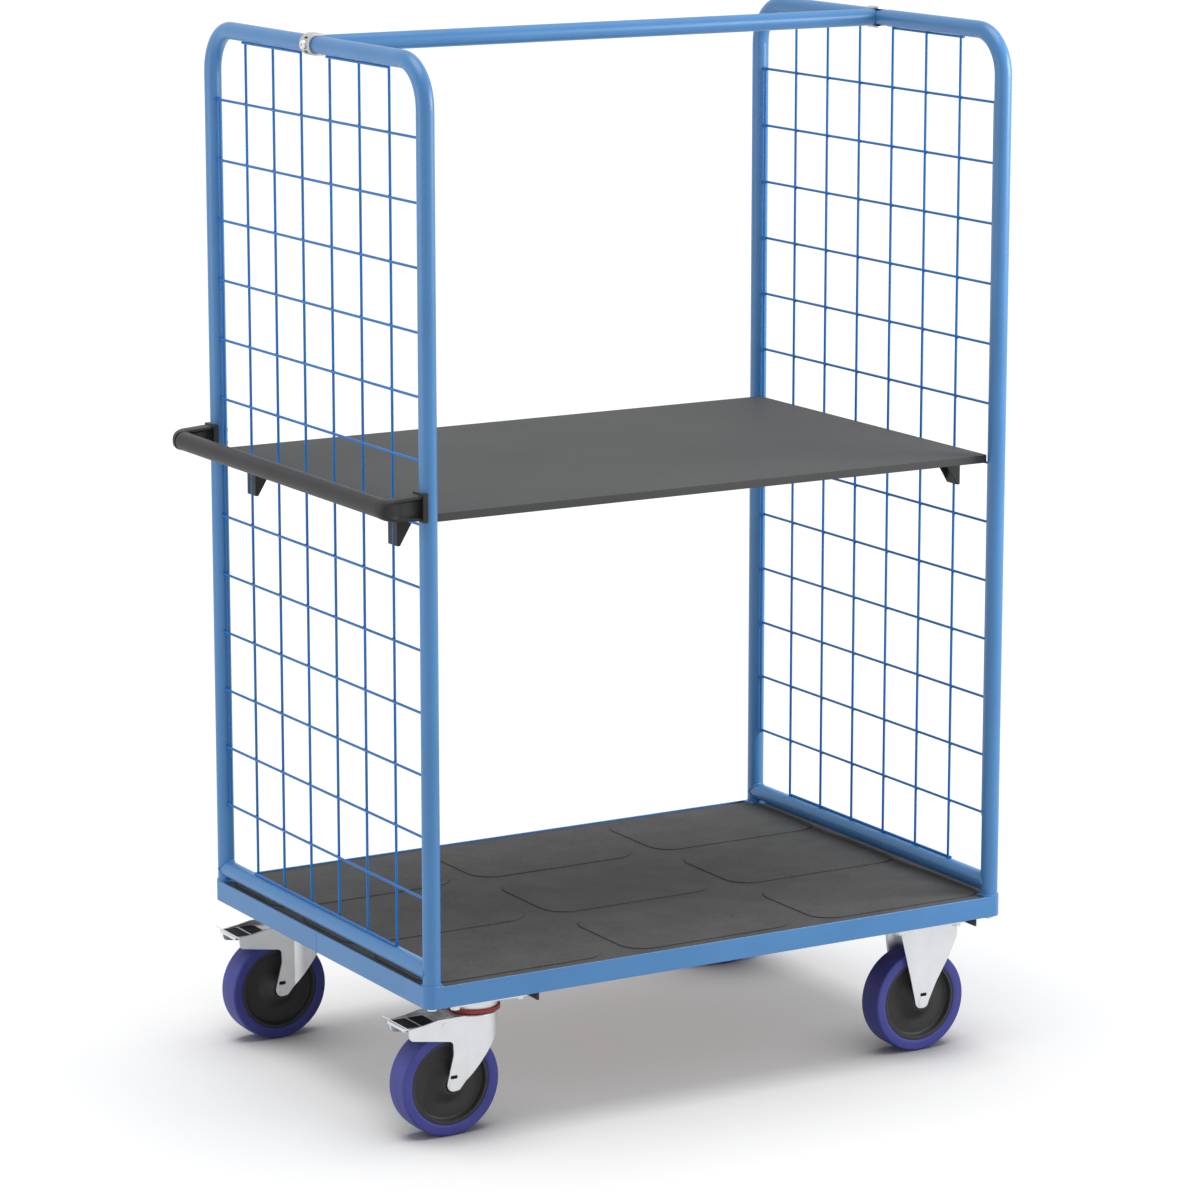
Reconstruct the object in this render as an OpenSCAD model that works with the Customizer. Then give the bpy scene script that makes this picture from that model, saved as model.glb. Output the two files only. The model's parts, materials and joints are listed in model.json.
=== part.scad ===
// Platform trolley with two mesh end walls, a loose shelf, a push handle and four casters.
// Millimetres, +Z up, floor at z = 0. The handle end points to -X and the loading sides to -Y and +Y.

/* [Platform] */
// Length of the platform over its rim
platform_l = 1000; // [800:10:1200]
// Width of the platform over its rim
platform_w = 700; // [600:10:800]
// Height of the rim band
rim_h = 32; // [28:1:45]
// Thickness of the rim band and of its ledge
rim_t = 3; // [2:0.5:4]
// Outer radius of the rim's upright corners
rim_corner_r = 15; // [8:1:20]
// Width of the ledge that carries the deck
ledge_w = 28; // [20:1:40]
// Width of the butt joint where the rim band closes
rim_seam_w = 0.8; // [0.4:0.1:1.5]
// Side of the corner pad that carries a post
pad_side = 29; // [28:1:34]
// Thickness of the corner pad
pad_t = 4; // [3:0.5:6]
// Thickness of the deck board
board_t = 12; // [9:1:15]
// Thickness of the deck mat
mat_t = 2; // [1:0.5:3]
// Depth of the mat's face below the top of the rim
mat_recess = 1; // [0.5:0.5:3]
// Width of board that shows between the mat and the rim
mat_margin = 5; // [2:1:15]
// Length of one raised field on the mat
field_l = 290; // [200:5:320]
// Width of one raised field on the mat
field_w = 188; // [150:2:220]
// How much longer the fields at both ends of the mat are
field_extra = 14; // [0:1:20]
// Space between two raised fields along the mat
field_gap_x = 38; // [20:1:60]
// Space between two raised fields across the mat
field_gap_y = 44; // [20:1:60]
// Corner radius of a raised field
field_r = 40; // [20:1:60]
// How far a field stands above the mat
field_rise = 0.8; // [0.4:0.1:0.9]

/* [Cross-members] */
// How far the cross-members hang below the rim
member_drop = 3; // [2:1:12]
// How far their stiffening lips hang below the rim
member_lip = 12; // [8:1:16]
// Distance of the cross-members' ends from the rim
member_recess = 15; // [5:1:20]
// Width of a cross-member channel
member_w = 35; // [30:1:45]
// Wall thickness of a cross-member channel
member_t = 3; // [2:0.5:4]

/* [End frames] */
// Outer diameter of the frame tubes
tube_d = 26; // [22:1:28]
// Wall thickness of the frame tubes
tube_wall = 1.5; // [1:0.5:3]
// Distance of a post's axis from the rim's outer face
post_inset = 15; // [14:0.5:18]
// Height of the top rail's axis above the rim
frame_h = 1316; // [1000:10:1600]
// Bend radius of the frame's top corners, on the tube's axis
bend_r = 65; // [45:5:90]
// Height of the bottom rail's axis above the rim
bottom_rail_h = 19; // [16:1:40]
// Length of the threaded plug in a post's foot
plug_l = 28; // [20:1:40]

/* [Wire mesh] */
// Wire diameter
wire_d = 4; // [3:0.5:5]
// Number of mesh openings over the height
mesh_rows = 14; // [8:1:18]
// Number of mesh openings over the width
mesh_cols = 7; // [5:2:9]
// Distance of the outermost upright wires from the posts
mesh_edge = 4.9; // [4:0.1:12]
// Length of wire past a crossing where a wire ends free
wire_overhang = 3; // [2.5:0.5:8]
// How deep a weld sinks one wire into its neighbour
weld_sink = 0.4; // [0.2:0.1:0.8]

/* [Cross tube] */
// Thickness of the half-round clips on the rails
clip_t = 3; // [2:0.5:4]
// Width of a clip along its rail
clip_w = 30; // [24:1:40]
// How far a clip's ends reach past the rail's middle
clip_lip = 1; // [0:0.25:1.5]

/* [Shelf] */
// Mesh wire that the shelf's brackets hang on
shelf_row = 7; // [4:1:10]
// Thickness of the shelf board
shelf_t = 12; // [9:1:20]
// Gap between the shelf's end and the mesh
shelf_end_gap = 1.6; // [1:0.1:5]
// Gap between the shelf's long side and the posts
shelf_side_gap = 3; // [2:0.5:20]
// Corner radius of the shelf
shelf_r = 4; // [1:1:20]
// Width of a shelf bracket
bracket_w = 28; // [20:1:40]
// Depth of a shelf bracket below its wire
bracket_h = 44; // [25:1:60]
// Reach of a shelf bracket under the shelf
bracket_reach = 31; // [20:1:60]
// Wall thickness of a shelf bracket
bracket_wall = 3; // [2:0.5:4]

/* [Push handle] */
// Height of the handle's axis above the rim
handle_h = 697; // [550:1:900]
// Distance of the handle's axis from the posts' axis
handle_reach = 65; // [60:1:100]
// Diameter of the handle bar
handle_d = 28; // [24:1:29]
// Wall thickness of the handle bar
handle_wall = 2; // [1.5:0.5:4]
// Diameter of the round caps on the arms
cap_d = 29; // [29:0.5:36]
// Open seam between the bar and the caps
seam_gap = 0.6; // [0.2:0.1:1]
// Height of the saddle that an arm has on its post
saddle_h = 41; // [38:1:60]
// Thickness of an arm's web
arm_web_t = 12; // [10:0.5:16]
// Width of an arm's flanges
arm_flange_w = 25; // [18:1:28]
// Thickness of an arm's flanges
arm_flange_t = 4; // [3:0.5:5]

/* [Casters] */
// Height of a caster from the floor to the top of its plate
caster_h = 209; // [205:1:220]
// Distance of a caster's centre from the platform's end
caster_inset_x = 115; // [110:1:200]
// Distance of a caster's centre from the platform's long side
caster_inset_y = 73; // [65:1:120]
// Wheel diameter
wheel_d = 160; // [150:1:165]
// Tyre width
tyre_w = 44; // [38:1:48]
// Depth of the tyre from its tread to the hub
tyre_t = 17; // [12:1:24]
// Radius of the tyre's shoulders
shoulder_r = 5; // [2:0.5:8]
// How far the axle trails behind the swivel axis
trail = 50; // [44:1:54]
// Length of a caster's plate
plate_l = 133; // [128:1:140]
// Width of a caster's plate
plate_w = 110; // [104:1:120]
// Thickness of a caster's plate
plate_t = 5; // [4:0.5:6]
// Bolt spacing along the plate
bolt_span_x = 105; // [100:1:112]
// Bolt spacing across the plate
bolt_span_y = 80; // [78:1:84]
// Outer width of the fork over its cheeks
fork_w = 62; // [60:0.5:68]
// Thickness of the fork's sheet
fork_t = 3.5; // [3:0.25:4]
// Axle diameter
axle_d = 12; // [10:0.5:13]
// Kingpin diameter
kingpin_d = 12; // [10:0.5:14]
// Diameter of the balls in the swivel head
ball_d = 7; // [6:0.5:8]
// Number of balls in the swivel head
ball_n = 18; // [12:1:20]
// Width of the brake pedal's tread lip
pedal_lip_w = 84; // [70:1:96]
// Angle that the brake pedal swings down to lock
brake_swing = 7; // [4:0.5:7]

/* [Clearances] */
// Gap between parts that are assembled and stay put
fit_gap = 0.1; // [0.05:0.05:0.2]
// Radial running clearance on axles and pins
run_gap = 0.05; // [0.02:0.01:0.1]
// Gap beside parts that turn or slide
side_gap = 0.5; // [0.3:0.1:1]
// Gap between the deck pieces and the rim
deck_gap = 0.5; // [0.3:0.1:1.5]
// Clearance of a bolt in its hole, on the diameter
hole_gap = 1; // [0.5:0.1:1.5]

/* [Fasteners] */
// Diameter of the bolts that hold the posts
post_bolt_d = 8; // [6:1:10]
// Diameter of the bolts that hold the handle arms
arm_bolt_d = 6; // [5:0.5:7]
// Diameter of the screws that hold the cross tube
cross_screw_d = 8; // [6:1:10]
// Diameter of the bolts that hold the casters
caster_bolt_d = 8; // [6:1:9]

/* [Hidden] */
$fn = 64;
eps = 0.01;
cut = 1;
blue = [0.29, 0.52, 0.74];
zinc = [0.86, 0.87, 0.88];
steel = [0.62, 0.63, 0.65];
black = [0.17, 0.17, 0.18];
grey = [0.36, 0.36, 0.37];
brown = [0.36, 0.27, 0.2];
tyre_blue = [0.27, 0.27, 0.52];
seal_red = [0.63, 0.19, 0.19];

// Levels above the floor
rim_bottom = caster_h + member_drop;
rim_top = rim_bottom + rim_h;
mat_top = rim_top - mat_recess;
board_top = mat_top - mat_t;
ledge_top = board_top - board_t;
ledge_bottom = ledge_top - rim_t;
rail_z = rim_top + frame_h;
handle_z = rim_top + handle_h;

// Plan positions, with the whole length centred on the origin
clip_over = tube_d / 2 + fit_gap + clip_t + button_h(cross_screw_d);
left_over = handle_reach + cap_d / 2;
right_over = max(post_inset, clip_over);
centre_x = (left_over - right_over) / 2;
post_span = platform_l / 2 - post_inset;
post_y = platform_w / 2 - post_inset;
left_x = centre_x - post_span;
right_x = centre_x + post_span;
swivel_x = centre_x - platform_l / 2 + caster_inset_x;
fixed_x = centre_x + platform_l / 2 - caster_inset_x;
caster_y = platform_w / 2 - caster_inset_y;
tube_r = tube_d / 2;
tube_id = tube_d - 2 * tube_wall;

// Mesh grid, measured from the rim's top and the platform's middle
wire_r = wire_d / 2;
wire_offset = wire_r - weld_sink / 2;
first_row_z = bottom_rail_h + tube_r + wire_r - weld_sink;
last_row_z = frame_h - tube_r - wire_r + weld_sink;
row_pitch = (last_row_z - first_row_z) / mesh_rows;
first_col_y = post_y - tube_r - mesh_edge;
col_pitch = 2 * first_col_y / mesh_cols;
bracket_col = 1;
function row_z(row) = rim_top + first_row_z + row * row_pitch;
function col_y(col) = -first_col_y + col * col_pitch;

// Shelf
shelf_clear = wire_offset + wire_r + shelf_end_gap;
shelf_l = 2 * (post_span - shelf_clear);
shelf_w = 2 * (post_y - tube_r - shelf_side_gap);
bracket_back = wire_r - wire_offset + fit_gap;
bracket_top = wire_r + fit_gap;
bracket_toe = 5;
hook_t = 2.5;
hook_drop = 4;
shelf_z = row_z(shelf_row) + bracket_top + fit_gap;

// Handle
saddle_t = 8;
saddle_wrap = 5;
saddle_side = 3;
saddle_out = tube_r + saddle_t;
saddle_in = tube_r - saddle_wrap;
saddle_w = tube_d + 2 * saddle_side;
saddle_lip = 2;
cap_out = 2;
cap_in = 10;
spigot_l = 25;
arm_top = saddle_h / 2 - saddle_lip;
arm_bolt_pitch = 20;
arm_bolt_depth = 14;

// Fasteners: head height and width across corners follow the thread
function head_h(d) = 0.65 * d;
function head_d(d) = 1.9 * d;
function button_h(d) = 0.55 * d;
function button_d(d) = 1.75 * d;
thread_reach = 20;
cross_plug_inset = 6;
caster_bolt_grip = 10;
caster_nut_h = 8;
caster_washer_t = 2;
caster_washer_d = min(2.1 * caster_bolt_d, bolt_span_y - fork_w - 2 * side_gap);

// Wheel and fork
wheel_r = wheel_d / 2;
axle_z = wheel_r;
hub_r = wheel_r - tyre_t;
cheek_out = fork_w / 2;
cheek_in = cheek_out - fork_t;
hub_half = cheek_in - side_gap;
tip_r = 11;
tip_side = 2;
slot_l = 11;
slot_h = 5;
slot_wall = 3.3;
slot_up = axle_d / 2 + slot_wall;
bearing_wall = 6;
boss_wall = 8;
bearing_d = axle_d + 2 * bearing_wall;
hub_boss_d = bearing_d + 2 * boss_wall;
hub_rim_t = 7;
hub_recess = 2;
hub_step = 4;
hub_web_t = 9;
axle_head_edge = 2.5;
axle_head_d = axle_d + 2 * axle_head_edge;
axle_head_t = 0.8;
axle_nut_edge = 3.5;
axle_nut_d = axle_d + 2 * axle_nut_edge;
axle_nut_h = 6;
plate_bottom = caster_h - plate_t;
plate_r = 9;
member_x = plate_l / 2 + side_gap + member_t - member_w / 2;

// Swivel head, from the plate downwards
race_d = 70;
race_h = 17;
race_bottom = plate_bottom - race_h;
ball_ring_r = 25;
ball_seat = 1.5;
ball_z = race_bottom - ball_d / 2 + ball_seat;
seal_wall = 3.5;
seal_drop = 5;
seal_grip = 2;
seal_bottom = race_bottom - seal_drop;
seal_top = race_bottom + seal_grip;
crown_top = seal_bottom - side_gap;
crown_t = 5;
crown_bottom = crown_top - crown_t;
inner_race_edge = 4;
inner_race_gap = 2;
inner_race_d = race_d - 2 * inner_race_edge;
inner_race_top = ball_z - inner_race_gap;
king_nut_h = 8;
crown_rear = trail - 2;

// Swivel fork: flat cheeks that open into a bulged nose, with side outlines as [X, Z] from the axle
nose_front = 34;
nose_fold = 30;
nose_back = (pow(nose_fold, 2) + pow(cheek_out, 2) - pow(nose_front, 2)) / (2 * (nose_front + nose_fold));
nose_r = nose_front + nose_back;
nose_low = 43;
nose_high = 84;
swivel_tail = [[-72, 84], [-73, 94], [-47, 97]];
swivel_shoulder = -25;
swivel_leg = [[32, 20], [20, 4], [9, -6.5]];
swivel_throat = [[-1, 46], [-1, 60], [-7, 66], [-64, 76]];

// Fixed fork: side outlines as [X, Z] from the axle, front edge from the plate down and rear edge up
fixed_front = [[61, 95], [45, 65], [25, 34], [9, -7]];
fixed_rear = [[-25, 48], [-35, 93]];
fixed_top = [-42, 61];

// Brake
pivot_back = 14;
pivot_up = 90;
pivot_x = -trail - pivot_back;
pivot_z = axle_z + pivot_up;
pivot_d = 8;
pin_head_d = 10.4;
pin_head_t = 0.5;
pedal_half = cheek_in - side_gap;
pedal_t = 3;
pedal_flange_h = 13;
pedal_rise = 5;
pedal_reach = 78;
pedal_front = 9;
pedal_top = pivot_z + pedal_rise;
pedal_end = -trail - pedal_reach;
window_l = 26;
window_edge = 6;
lip_t = 5;
lip_h = 9;
shoe_back = 40;
shoe_x = -trail - shoe_back;
shoe_l = 14;
shoe_gap = 1.6;
shoe_face = axle_z + sqrt(pow(wheel_r, 2) - pow(shoe_x + shoe_l / 2 + trail, 2));
shoe_travel = (pivot_x - shoe_x - shoe_l / 2) * sin(brake_swing);

// Shapes that several pieces share

module rounded_rect(l, w, r) {
    square([l - 2 * r, w], center = true);
    square([l, w - 2 * r], center = true);
    for (sx = [-1, 1])
        for (sy = [-1, 1])
            translate([sx * (l / 2 - r), sy * (w / 2 - r)]) circle(r = r);
}

module rod_x(d, l) {
    rotate([0, 90, 0]) cylinder(d = d, h = l, center = true);
}

module rod_y(d, l) {
    rotate([90, 0, 0]) cylinder(d = d, h = l, center = true);
}

// Puts a shape drawn in plan as X and Z upright, with its thickness along Y
module upright(t) {
    rotate([90, 0, 0]) linear_extrude(t, center = true) children();
}

module at_posts() {
    for (px = [left_x, right_x])
        for (sy = [-1, 1])
            translate([px, sy * post_y, rim_top]) children();
}

module at_caster_bolts() {
    for (cx = [swivel_x, fixed_x])
        for (cy = [-caster_y, caster_y])
            translate([cx, cy, plate_bottom]) plate_bolt_grid() children();
}

module plate_bolt_grid() {
    for (sx = [-1, 1])
        for (sy = [-1, 1])
            translate([sx * bolt_span_x / 2, sy * bolt_span_y / 2, 0]) children();
}

// Hexagon bolt along +Z, with its head below z = 0
module hex_bolt(d, l) {
    translate([0, 0, -head_h(d)]) cylinder(d = head_d(d), h = head_h(d), $fn = 6);
    cylinder(d = d, h = l);
}

// Domed socket screw along -Z, with its head above z = 0
module button_screw(d, l) {
    socket = 0.5 * d;
    difference() {
        union() {
            cylinder(d = button_d(d), h = button_h(d) / 2);
            translate([0, 0, button_h(d) / 2])
                cylinder(d1 = button_d(d), d2 = 0.75 * button_d(d), h = button_h(d) / 2);
            translate([0, 0, -l]) cylinder(d = d, h = l);
        }
        translate([0, 0, button_h(d) / 3]) cylinder(d = socket, h = button_h(d), $fn = 6);
    }
}

// Platform

module base_frame() {
    color(blue) difference() {
        translate([centre_x, 0, 0]) {
            difference() {
                translate([0, 0, rim_bottom])
                    linear_extrude(rim_h) rounded_rect(platform_l, platform_w, rim_corner_r);
                translate([0, 0, rim_bottom - eps])
                    linear_extrude(rim_h + 2 * eps)
                        rounded_rect(platform_l - 2 * rim_t, platform_w - 2 * rim_t, rim_corner_r - rim_t);
            }
            translate([0, 0, ledge_bottom]) linear_extrude(rim_t) deck_ledge();
            for (sx = [-1, 1])
                for (sy = [-1, 1])
                    mirror([sx > 0 ? 1 : 0, 0, 0])
                        mirror([0, sy > 0 ? 1 : 0, 0])
                            for (z = [rim_bottom, rim_top - pad_t])
                                translate([0, 0, z]) linear_extrude(pad_t) corner_pad();
        }
        at_posts() translate([0, 0, -rim_h - eps]) cylinder(d = post_bolt_d + hole_gap, h = rim_h + 2 * eps);
        translate([centre_x - platform_l / 2 - eps, -rim_seam_w / 2, rim_bottom - eps])
            cube([rim_t / 4, rim_seam_w, rim_h + 2 * eps]);
    }
}

// Flat ring inside the rim that the deck board lies on
module deck_ledge() {
    difference() {
        rounded_rect(platform_l - rim_t, platform_w - rim_t, rim_corner_r - rim_t / 2);
        square([platform_l - 2 * (rim_t + ledge_w), platform_w - 2 * (rim_t + ledge_w)], center = true);
    }
}

// Pad in the corner at low X and low Y, inside the rim's outline
module corner_pad() {
    intersection() {
        rounded_rect(platform_l, platform_w, rim_corner_r);
        translate([-platform_l / 2, -platform_w / 2]) square(pad_side);
    }
}

// Plan of the deck pieces, notched round the corner pads
module deck_outline(margin) {
    notch = pad_side + deck_gap;
    l = platform_l - 2 * (rim_t + margin);
    w = platform_w - 2 * (rim_t + margin);
    difference() {
        square([l, w], center = true);
        for (sx = [-1, 1])
            for (sy = [-1, 1])
                translate([sx * platform_l / 2, sy * platform_w / 2]) square(2 * notch, center = true);
    }
}

// Pairs of channels that carry the casters, the right one of each pair with a lip beside the plates
module cross_members() {
    length = platform_w - 2 * (rim_t + member_recess);
    middle = platform_w - 2 * (rim_t + ledge_w + deck_gap);
    channel_h = ledge_top - caster_h;
    lip_l = platform_w - 2 * (rim_t + deck_gap);
    lip_bottom = rim_bottom - member_lip;
    color(black) difference() {
        for (cx = [swivel_x, fixed_x]) {
            for (sx = [-1, 1])
                translate([cx + sx * member_x, 0, caster_h])
                    difference() {
                        translate([-member_w / 2, -length / 2, 0]) cube([member_w, length, channel_h]);
                        translate([-member_w / 2 + member_t, -length / 2 - eps, member_t])
                            cube([member_w - 2 * member_t, length + 2 * eps, channel_h]);
                        for (start = [-length / 2 - eps, middle / 2])
                            translate([-member_w / 2 - eps, start, ledge_bottom - caster_h])
                                cube([member_w + 2 * eps, (length - middle) / 2 + eps, channel_h]);
                    }
            translate([cx + member_x + member_w / 2 - member_t, -lip_l / 2, lip_bottom])
                cube([member_t, lip_l, caster_h + member_t - lip_bottom]);
        }
        at_caster_bolts()
            cylinder(d = caster_bolt_d + hole_gap, h = plate_t + member_t + cut);
    }
}

module deck_board() {
    color(brown) translate([centre_x, 0, ledge_top])
        linear_extrude(board_t) deck_outline(deck_gap);
}

module deck_mat() {
    color(black) translate([centre_x, 0, board_top]) {
        linear_extrude(mat_t - field_rise) deck_outline(mat_margin);
        linear_extrude(mat_t)
            intersection() {
                deck_outline(2 * mat_margin);
                mat_fields();
            }
    }
}

// Raised fields of the mat, three by three
module mat_fields() {
    for (row = [-1:1])
        for (col = [-1:1])
            translate([col * (field_l + field_gap_x + field_extra / 2), row * (field_w + field_gap_y)])
                rounded_rect(field_l + abs(col) * field_extra, field_w, field_r);
}

// End frames

// Solid bent rod along the frame's path: post, corner, top rail, corner, post
module frame_path(d, below) {
    straight = frame_h - bend_r;
    for (sy = [0, 1])
        mirror([0, sy, 0]) {
            translate([0, post_y, -below]) cylinder(d = d, h = straight + below);
            translate([0, post_y - bend_r, straight])
                rotate([90, 0, 90])
                    rotate_extrude(angle = 90) translate([bend_r, 0]) circle(d = d);
        }
    translate([0, 0, frame_h]) rod_y(d, 2 * (post_y - bend_r));
}

module end_frame(px) {
    color(blue) translate([px, 0, rim_top]) difference() {
        union() {
            frame_path(tube_d, 0);
            translate([0, 0, bottom_rail_h]) rod_y(tube_d, 2 * post_y);
        }
        frame_path(tube_id, cut);
        translate([0, 0, bottom_rail_h]) rod_y(tube_id, 2 * (post_y - tube_r));
        translate([0, 0, frame_h]) rod_x(cross_screw_d + hole_gap / 2, 2 * tube_d);
        if (px == left_x)
            at_arm_bolts() rod_x(arm_bolt_d + hole_gap / 2, 2 * tube_d);
    }
}

// Bolt places of both handle arms, measured from the rim's top at the left posts' plane
module at_arm_bolts() {
    for (sy = [-1, 1])
        for (sz = [-1, 1])
            translate([0, sy * post_y, handle_h + sz * arm_bolt_pitch / 2]) children();
}

module left_end_frame() {
    end_frame(left_x);
}

module right_end_frame() {
    end_frame(right_x);
}

// Welded wire mesh: uprights inside, cross wires outside, with clipped corners
module mesh_panel(px, inward) {
    side_end = post_y - tube_r + weld_sink;
    low_end = col_y(1) - wire_overhang;
    mid_end = col_y((mesh_cols - 1) / 2) + wire_overhang;
    color(blue) translate([px, 0, 0]) {
        for (col = [0:mesh_cols]) {
            outermost = col == 0 || col == mesh_cols;
            low = row_z(outermost ? 1 : 0) - (outermost ? wire_overhang : wire_r);
            high = row_z(outermost ? mesh_rows - 1 : mesh_rows) + (outermost ? wire_overhang : wire_r);
            translate([inward * wire_offset, col_y(col), low]) cylinder(d = wire_d, h = high - low);
        }
        for (row = [1:mesh_rows - 1])
            translate([-inward * wire_offset, 0, row_z(row)]) rod_y(wire_d, 2 * side_end);
        translate([-inward * wire_offset, 0, row_z(0)]) rod_y(wire_d, -2 * low_end);
        for (sy = [-1, 1])
            translate([-inward * wire_offset, sy * (low_end + mid_end) / 2, row_z(mesh_rows)])
                rod_y(wire_d, mid_end - low_end);
    }
}

module left_mesh() {
    mesh_panel(left_x, 1);
}

module right_mesh() {
    mesh_panel(right_x, -1);
}

module post_plugs() {
    color(steel) at_posts() difference() {
        cylinder(d = tube_id - 2 * fit_gap, h = plug_l);
        translate([0, 0, -eps]) cylinder(d = post_bolt_d + 2 * run_gap, h = plug_l + 2 * eps);
    }
}

module post_bolts() {
    color(steel) at_posts() translate([0, 0, -rim_h]) hex_bolt(post_bolt_d, rim_h + thread_reach);
}

// Cross tube

module cross_tube() {
    color(blue) translate([0, 0, rail_z]) difference() {
        translate([centre_x, 0, 0]) rod_x(tube_d, 2 * post_span);
        translate([centre_x, 0, 0]) rod_x(tube_id, 2 * post_span + cut);
        for (px = [left_x, right_x])
            translate([px, 0, 0]) rod_y(tube_d + 2 * fit_gap, 2 * tube_d);
    }
}

module cross_tube_plugs() {
    inset = tube_r + cross_plug_inset;
    color(steel) for (sx = [-1, 1])
        translate([centre_x + sx * (post_span - inset - plug_l / 2), 0, rail_z])
            difference() {
                rod_x(tube_id - 2 * fit_gap, plug_l);
                rod_x(cross_screw_d + 2 * run_gap, plug_l + cut);
            }
}

// Half-round strap over the outer side of a rail
module cross_clip(px, outward) {
    inner_r = tube_r + fit_gap;
    outer_r = inner_r + clip_t;
    notch_w = 3;
    notch_l = clip_w / 3;
    notch_up = 0.62 * outer_r;
    color(zinc) translate([px, 0, rail_z]) difference() {
        upright(clip_w) difference() {
            circle(r = outer_r);
            circle(r = inner_r);
            translate([-outward * (outer_r + clip_lip), 0]) square(2 * outer_r, center = true);
        }
        rod_x(cross_screw_d + hole_gap / 2, 4 * outer_r);
        for (sz = [-1, 1])
            translate([outward * outer_r, 0, sz * notch_up])
                cube([outer_r, notch_l, notch_w], center = true);
    }
}

module left_cross_clip() {
    cross_clip(left_x, -1);
}

module right_cross_clip() {
    cross_clip(right_x, 1);
}

module cross_screws() {
    seat = tube_r + fit_gap + clip_t;
    reach = seat + tube_r + cross_plug_inset + thread_reach;
    color(zinc) for (sx = [-1, 1])
        translate([centre_x + sx * (post_span + seat), 0, rail_z])
            rotate([0, sx * 90, 0]) button_screw(cross_screw_d, reach);
}

// Shelf

module shelf_board() {
    color(black) translate([centre_x, 0, shelf_z])
        linear_extrude(shelf_t) rounded_rect(shelf_l, shelf_w, shelf_r);
}

// Hook-in bracket at a crossing of the mesh, drawn for the left wall
module bracket_at_origin() {
    floor_z = -bracket_h;
    tip_x = bracket_back + bracket_toe;
    end_x = bracket_back + bracket_reach;
    hook_out = wire_offset + wire_r + fit_gap + hook_t;
    lug_x = shelf_clear - side_gap;
    web_x = tip_x + bracket_wall;
    web_z = bracket_top - bracket_wall - cut;
    difference() {
        union() {
            upright(bracket_w)
                polygon([[bracket_back, bracket_top], [end_x, bracket_top],
                         [end_x, bracket_top - bracket_wall], [tip_x, floor_z], [bracket_back, floor_z]]);
            upright(bracket_w)
                polygon([[-hook_out, -hook_drop], [bracket_back, -hook_drop],
                         [bracket_back + eps, bracket_top], [lug_x, bracket_top],
                         [lug_x, bracket_top + hook_t], [-hook_out, bracket_top + hook_t]]);
        }
        upright(bracket_w - 2 * bracket_wall)
            polygon([[web_x, web_z], [end_x + bracket_wall, web_z], [web_x, floor_z - bracket_wall]]);
        translate([wire_offset, 0, floor_z - cut])
            cylinder(d = wire_d + 2 * fit_gap, h = bracket_h + bracket_top + hook_t + 2 * cut);
        translate([-wire_offset, 0, 0]) rod_y(wire_d + 2 * fit_gap, 2 * bracket_w);
        translate([-wire_offset - wire_r - fit_gap, -bracket_w, -hook_drop - cut])
            cube([wire_d + 2 * fit_gap, 2 * bracket_w, hook_drop + cut]);
    }
}

module shelf_bracket(px, turned, col) {
    color(black) translate([px, col_y(col), row_z(shelf_row)])
        mirror([turned, 0, 0]) bracket_at_origin();
}

module left_front_bracket() {
    shelf_bracket(left_x, 0, bracket_col);
}

module left_rear_bracket() {
    shelf_bracket(left_x, 0, mesh_cols - bracket_col);
}

module right_front_bracket() {
    shelf_bracket(right_x, 1, bracket_col);
}

module right_rear_bracket() {
    shelf_bracket(right_x, 1, mesh_cols - bracket_col);
}

// Push handle

module handle_bar() {
    length = 2 * (post_y - cap_in - seam_gap);
    color(grey) translate([left_x - handle_reach, 0, handle_z]) difference() {
        rod_y(handle_d, length);
        rod_y(handle_d - 2 * handle_wall, length + cut);
    }
}

// Arm at the front post, with the bar leaving towards +Y
module arm_at_origin() {
    cap_r = cap_d / 2;
    root_x = -saddle_in - cut;
    spigot_d = handle_d - 2 * handle_wall - 2 * fit_gap;
    difference() {
        union() {
            translate([-saddle_out, -saddle_w / 2, -saddle_h / 2])
                cube([saddle_out - saddle_in, saddle_w, saddle_h]);
            translate([-saddle_out - 3 * saddle_lip, -saddle_w / 2, saddle_h / 2 - saddle_lip])
                cube([4 * saddle_lip, saddle_w, saddle_lip]);
            upright(arm_web_t) arm_side(root_x, cap_r, 0);
            intersection() {
                upright(saddle_w)
                    difference() {
                        arm_side(root_x, cap_r, 0);
                        arm_side(root_x + cut, cap_r, arm_flange_t);
                    }
                linear_extrude(saddle_h, center = true) arm_plan(root_x, cap_r);
            }
            translate([-handle_reach, 0, 0]) arm_cap(cap_r);
            translate([-handle_reach, cap_in + spigot_l / 2 - cut, 0]) rod_y(spigot_d, spigot_l + 2 * cut);
        }
        cylinder(d = tube_d + 2 * fit_gap, h = 2 * saddle_h, center = true);
        for (sz = [-1, 1])
            translate([-tube_r, 0, sz * arm_bolt_pitch / 2])
                rod_x(arm_bolt_d + 2 * run_gap, 2 * (arm_bolt_depth + cut));
    }
}

// Side view of an arm, drawn in by a margin at its top and bottom
module arm_side(root_x, cap_r, margin) {
    polygon([[root_x, arm_top - margin], [-handle_reach, cap_r - margin],
             [-handle_reach, margin - cap_r], [root_x, margin - arm_top]]);
}

// Plan of an arm's flanges: broad at the saddle, round at the cap
module arm_plan(root_x, cap_r) {
    half = arm_flange_w / 2;
    bar_side = min(half, cap_in);
    translate([-handle_reach, 0]) intersection() {
        circle(r = half);
        translate([-half, -half]) square([2 * half, half + bar_side]);
    }
    polygon([[root_x, half], [-handle_reach + cap_r, bar_side], [-handle_reach, bar_side],
             [-handle_reach, -half], [root_x, -half]]);
}

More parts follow.
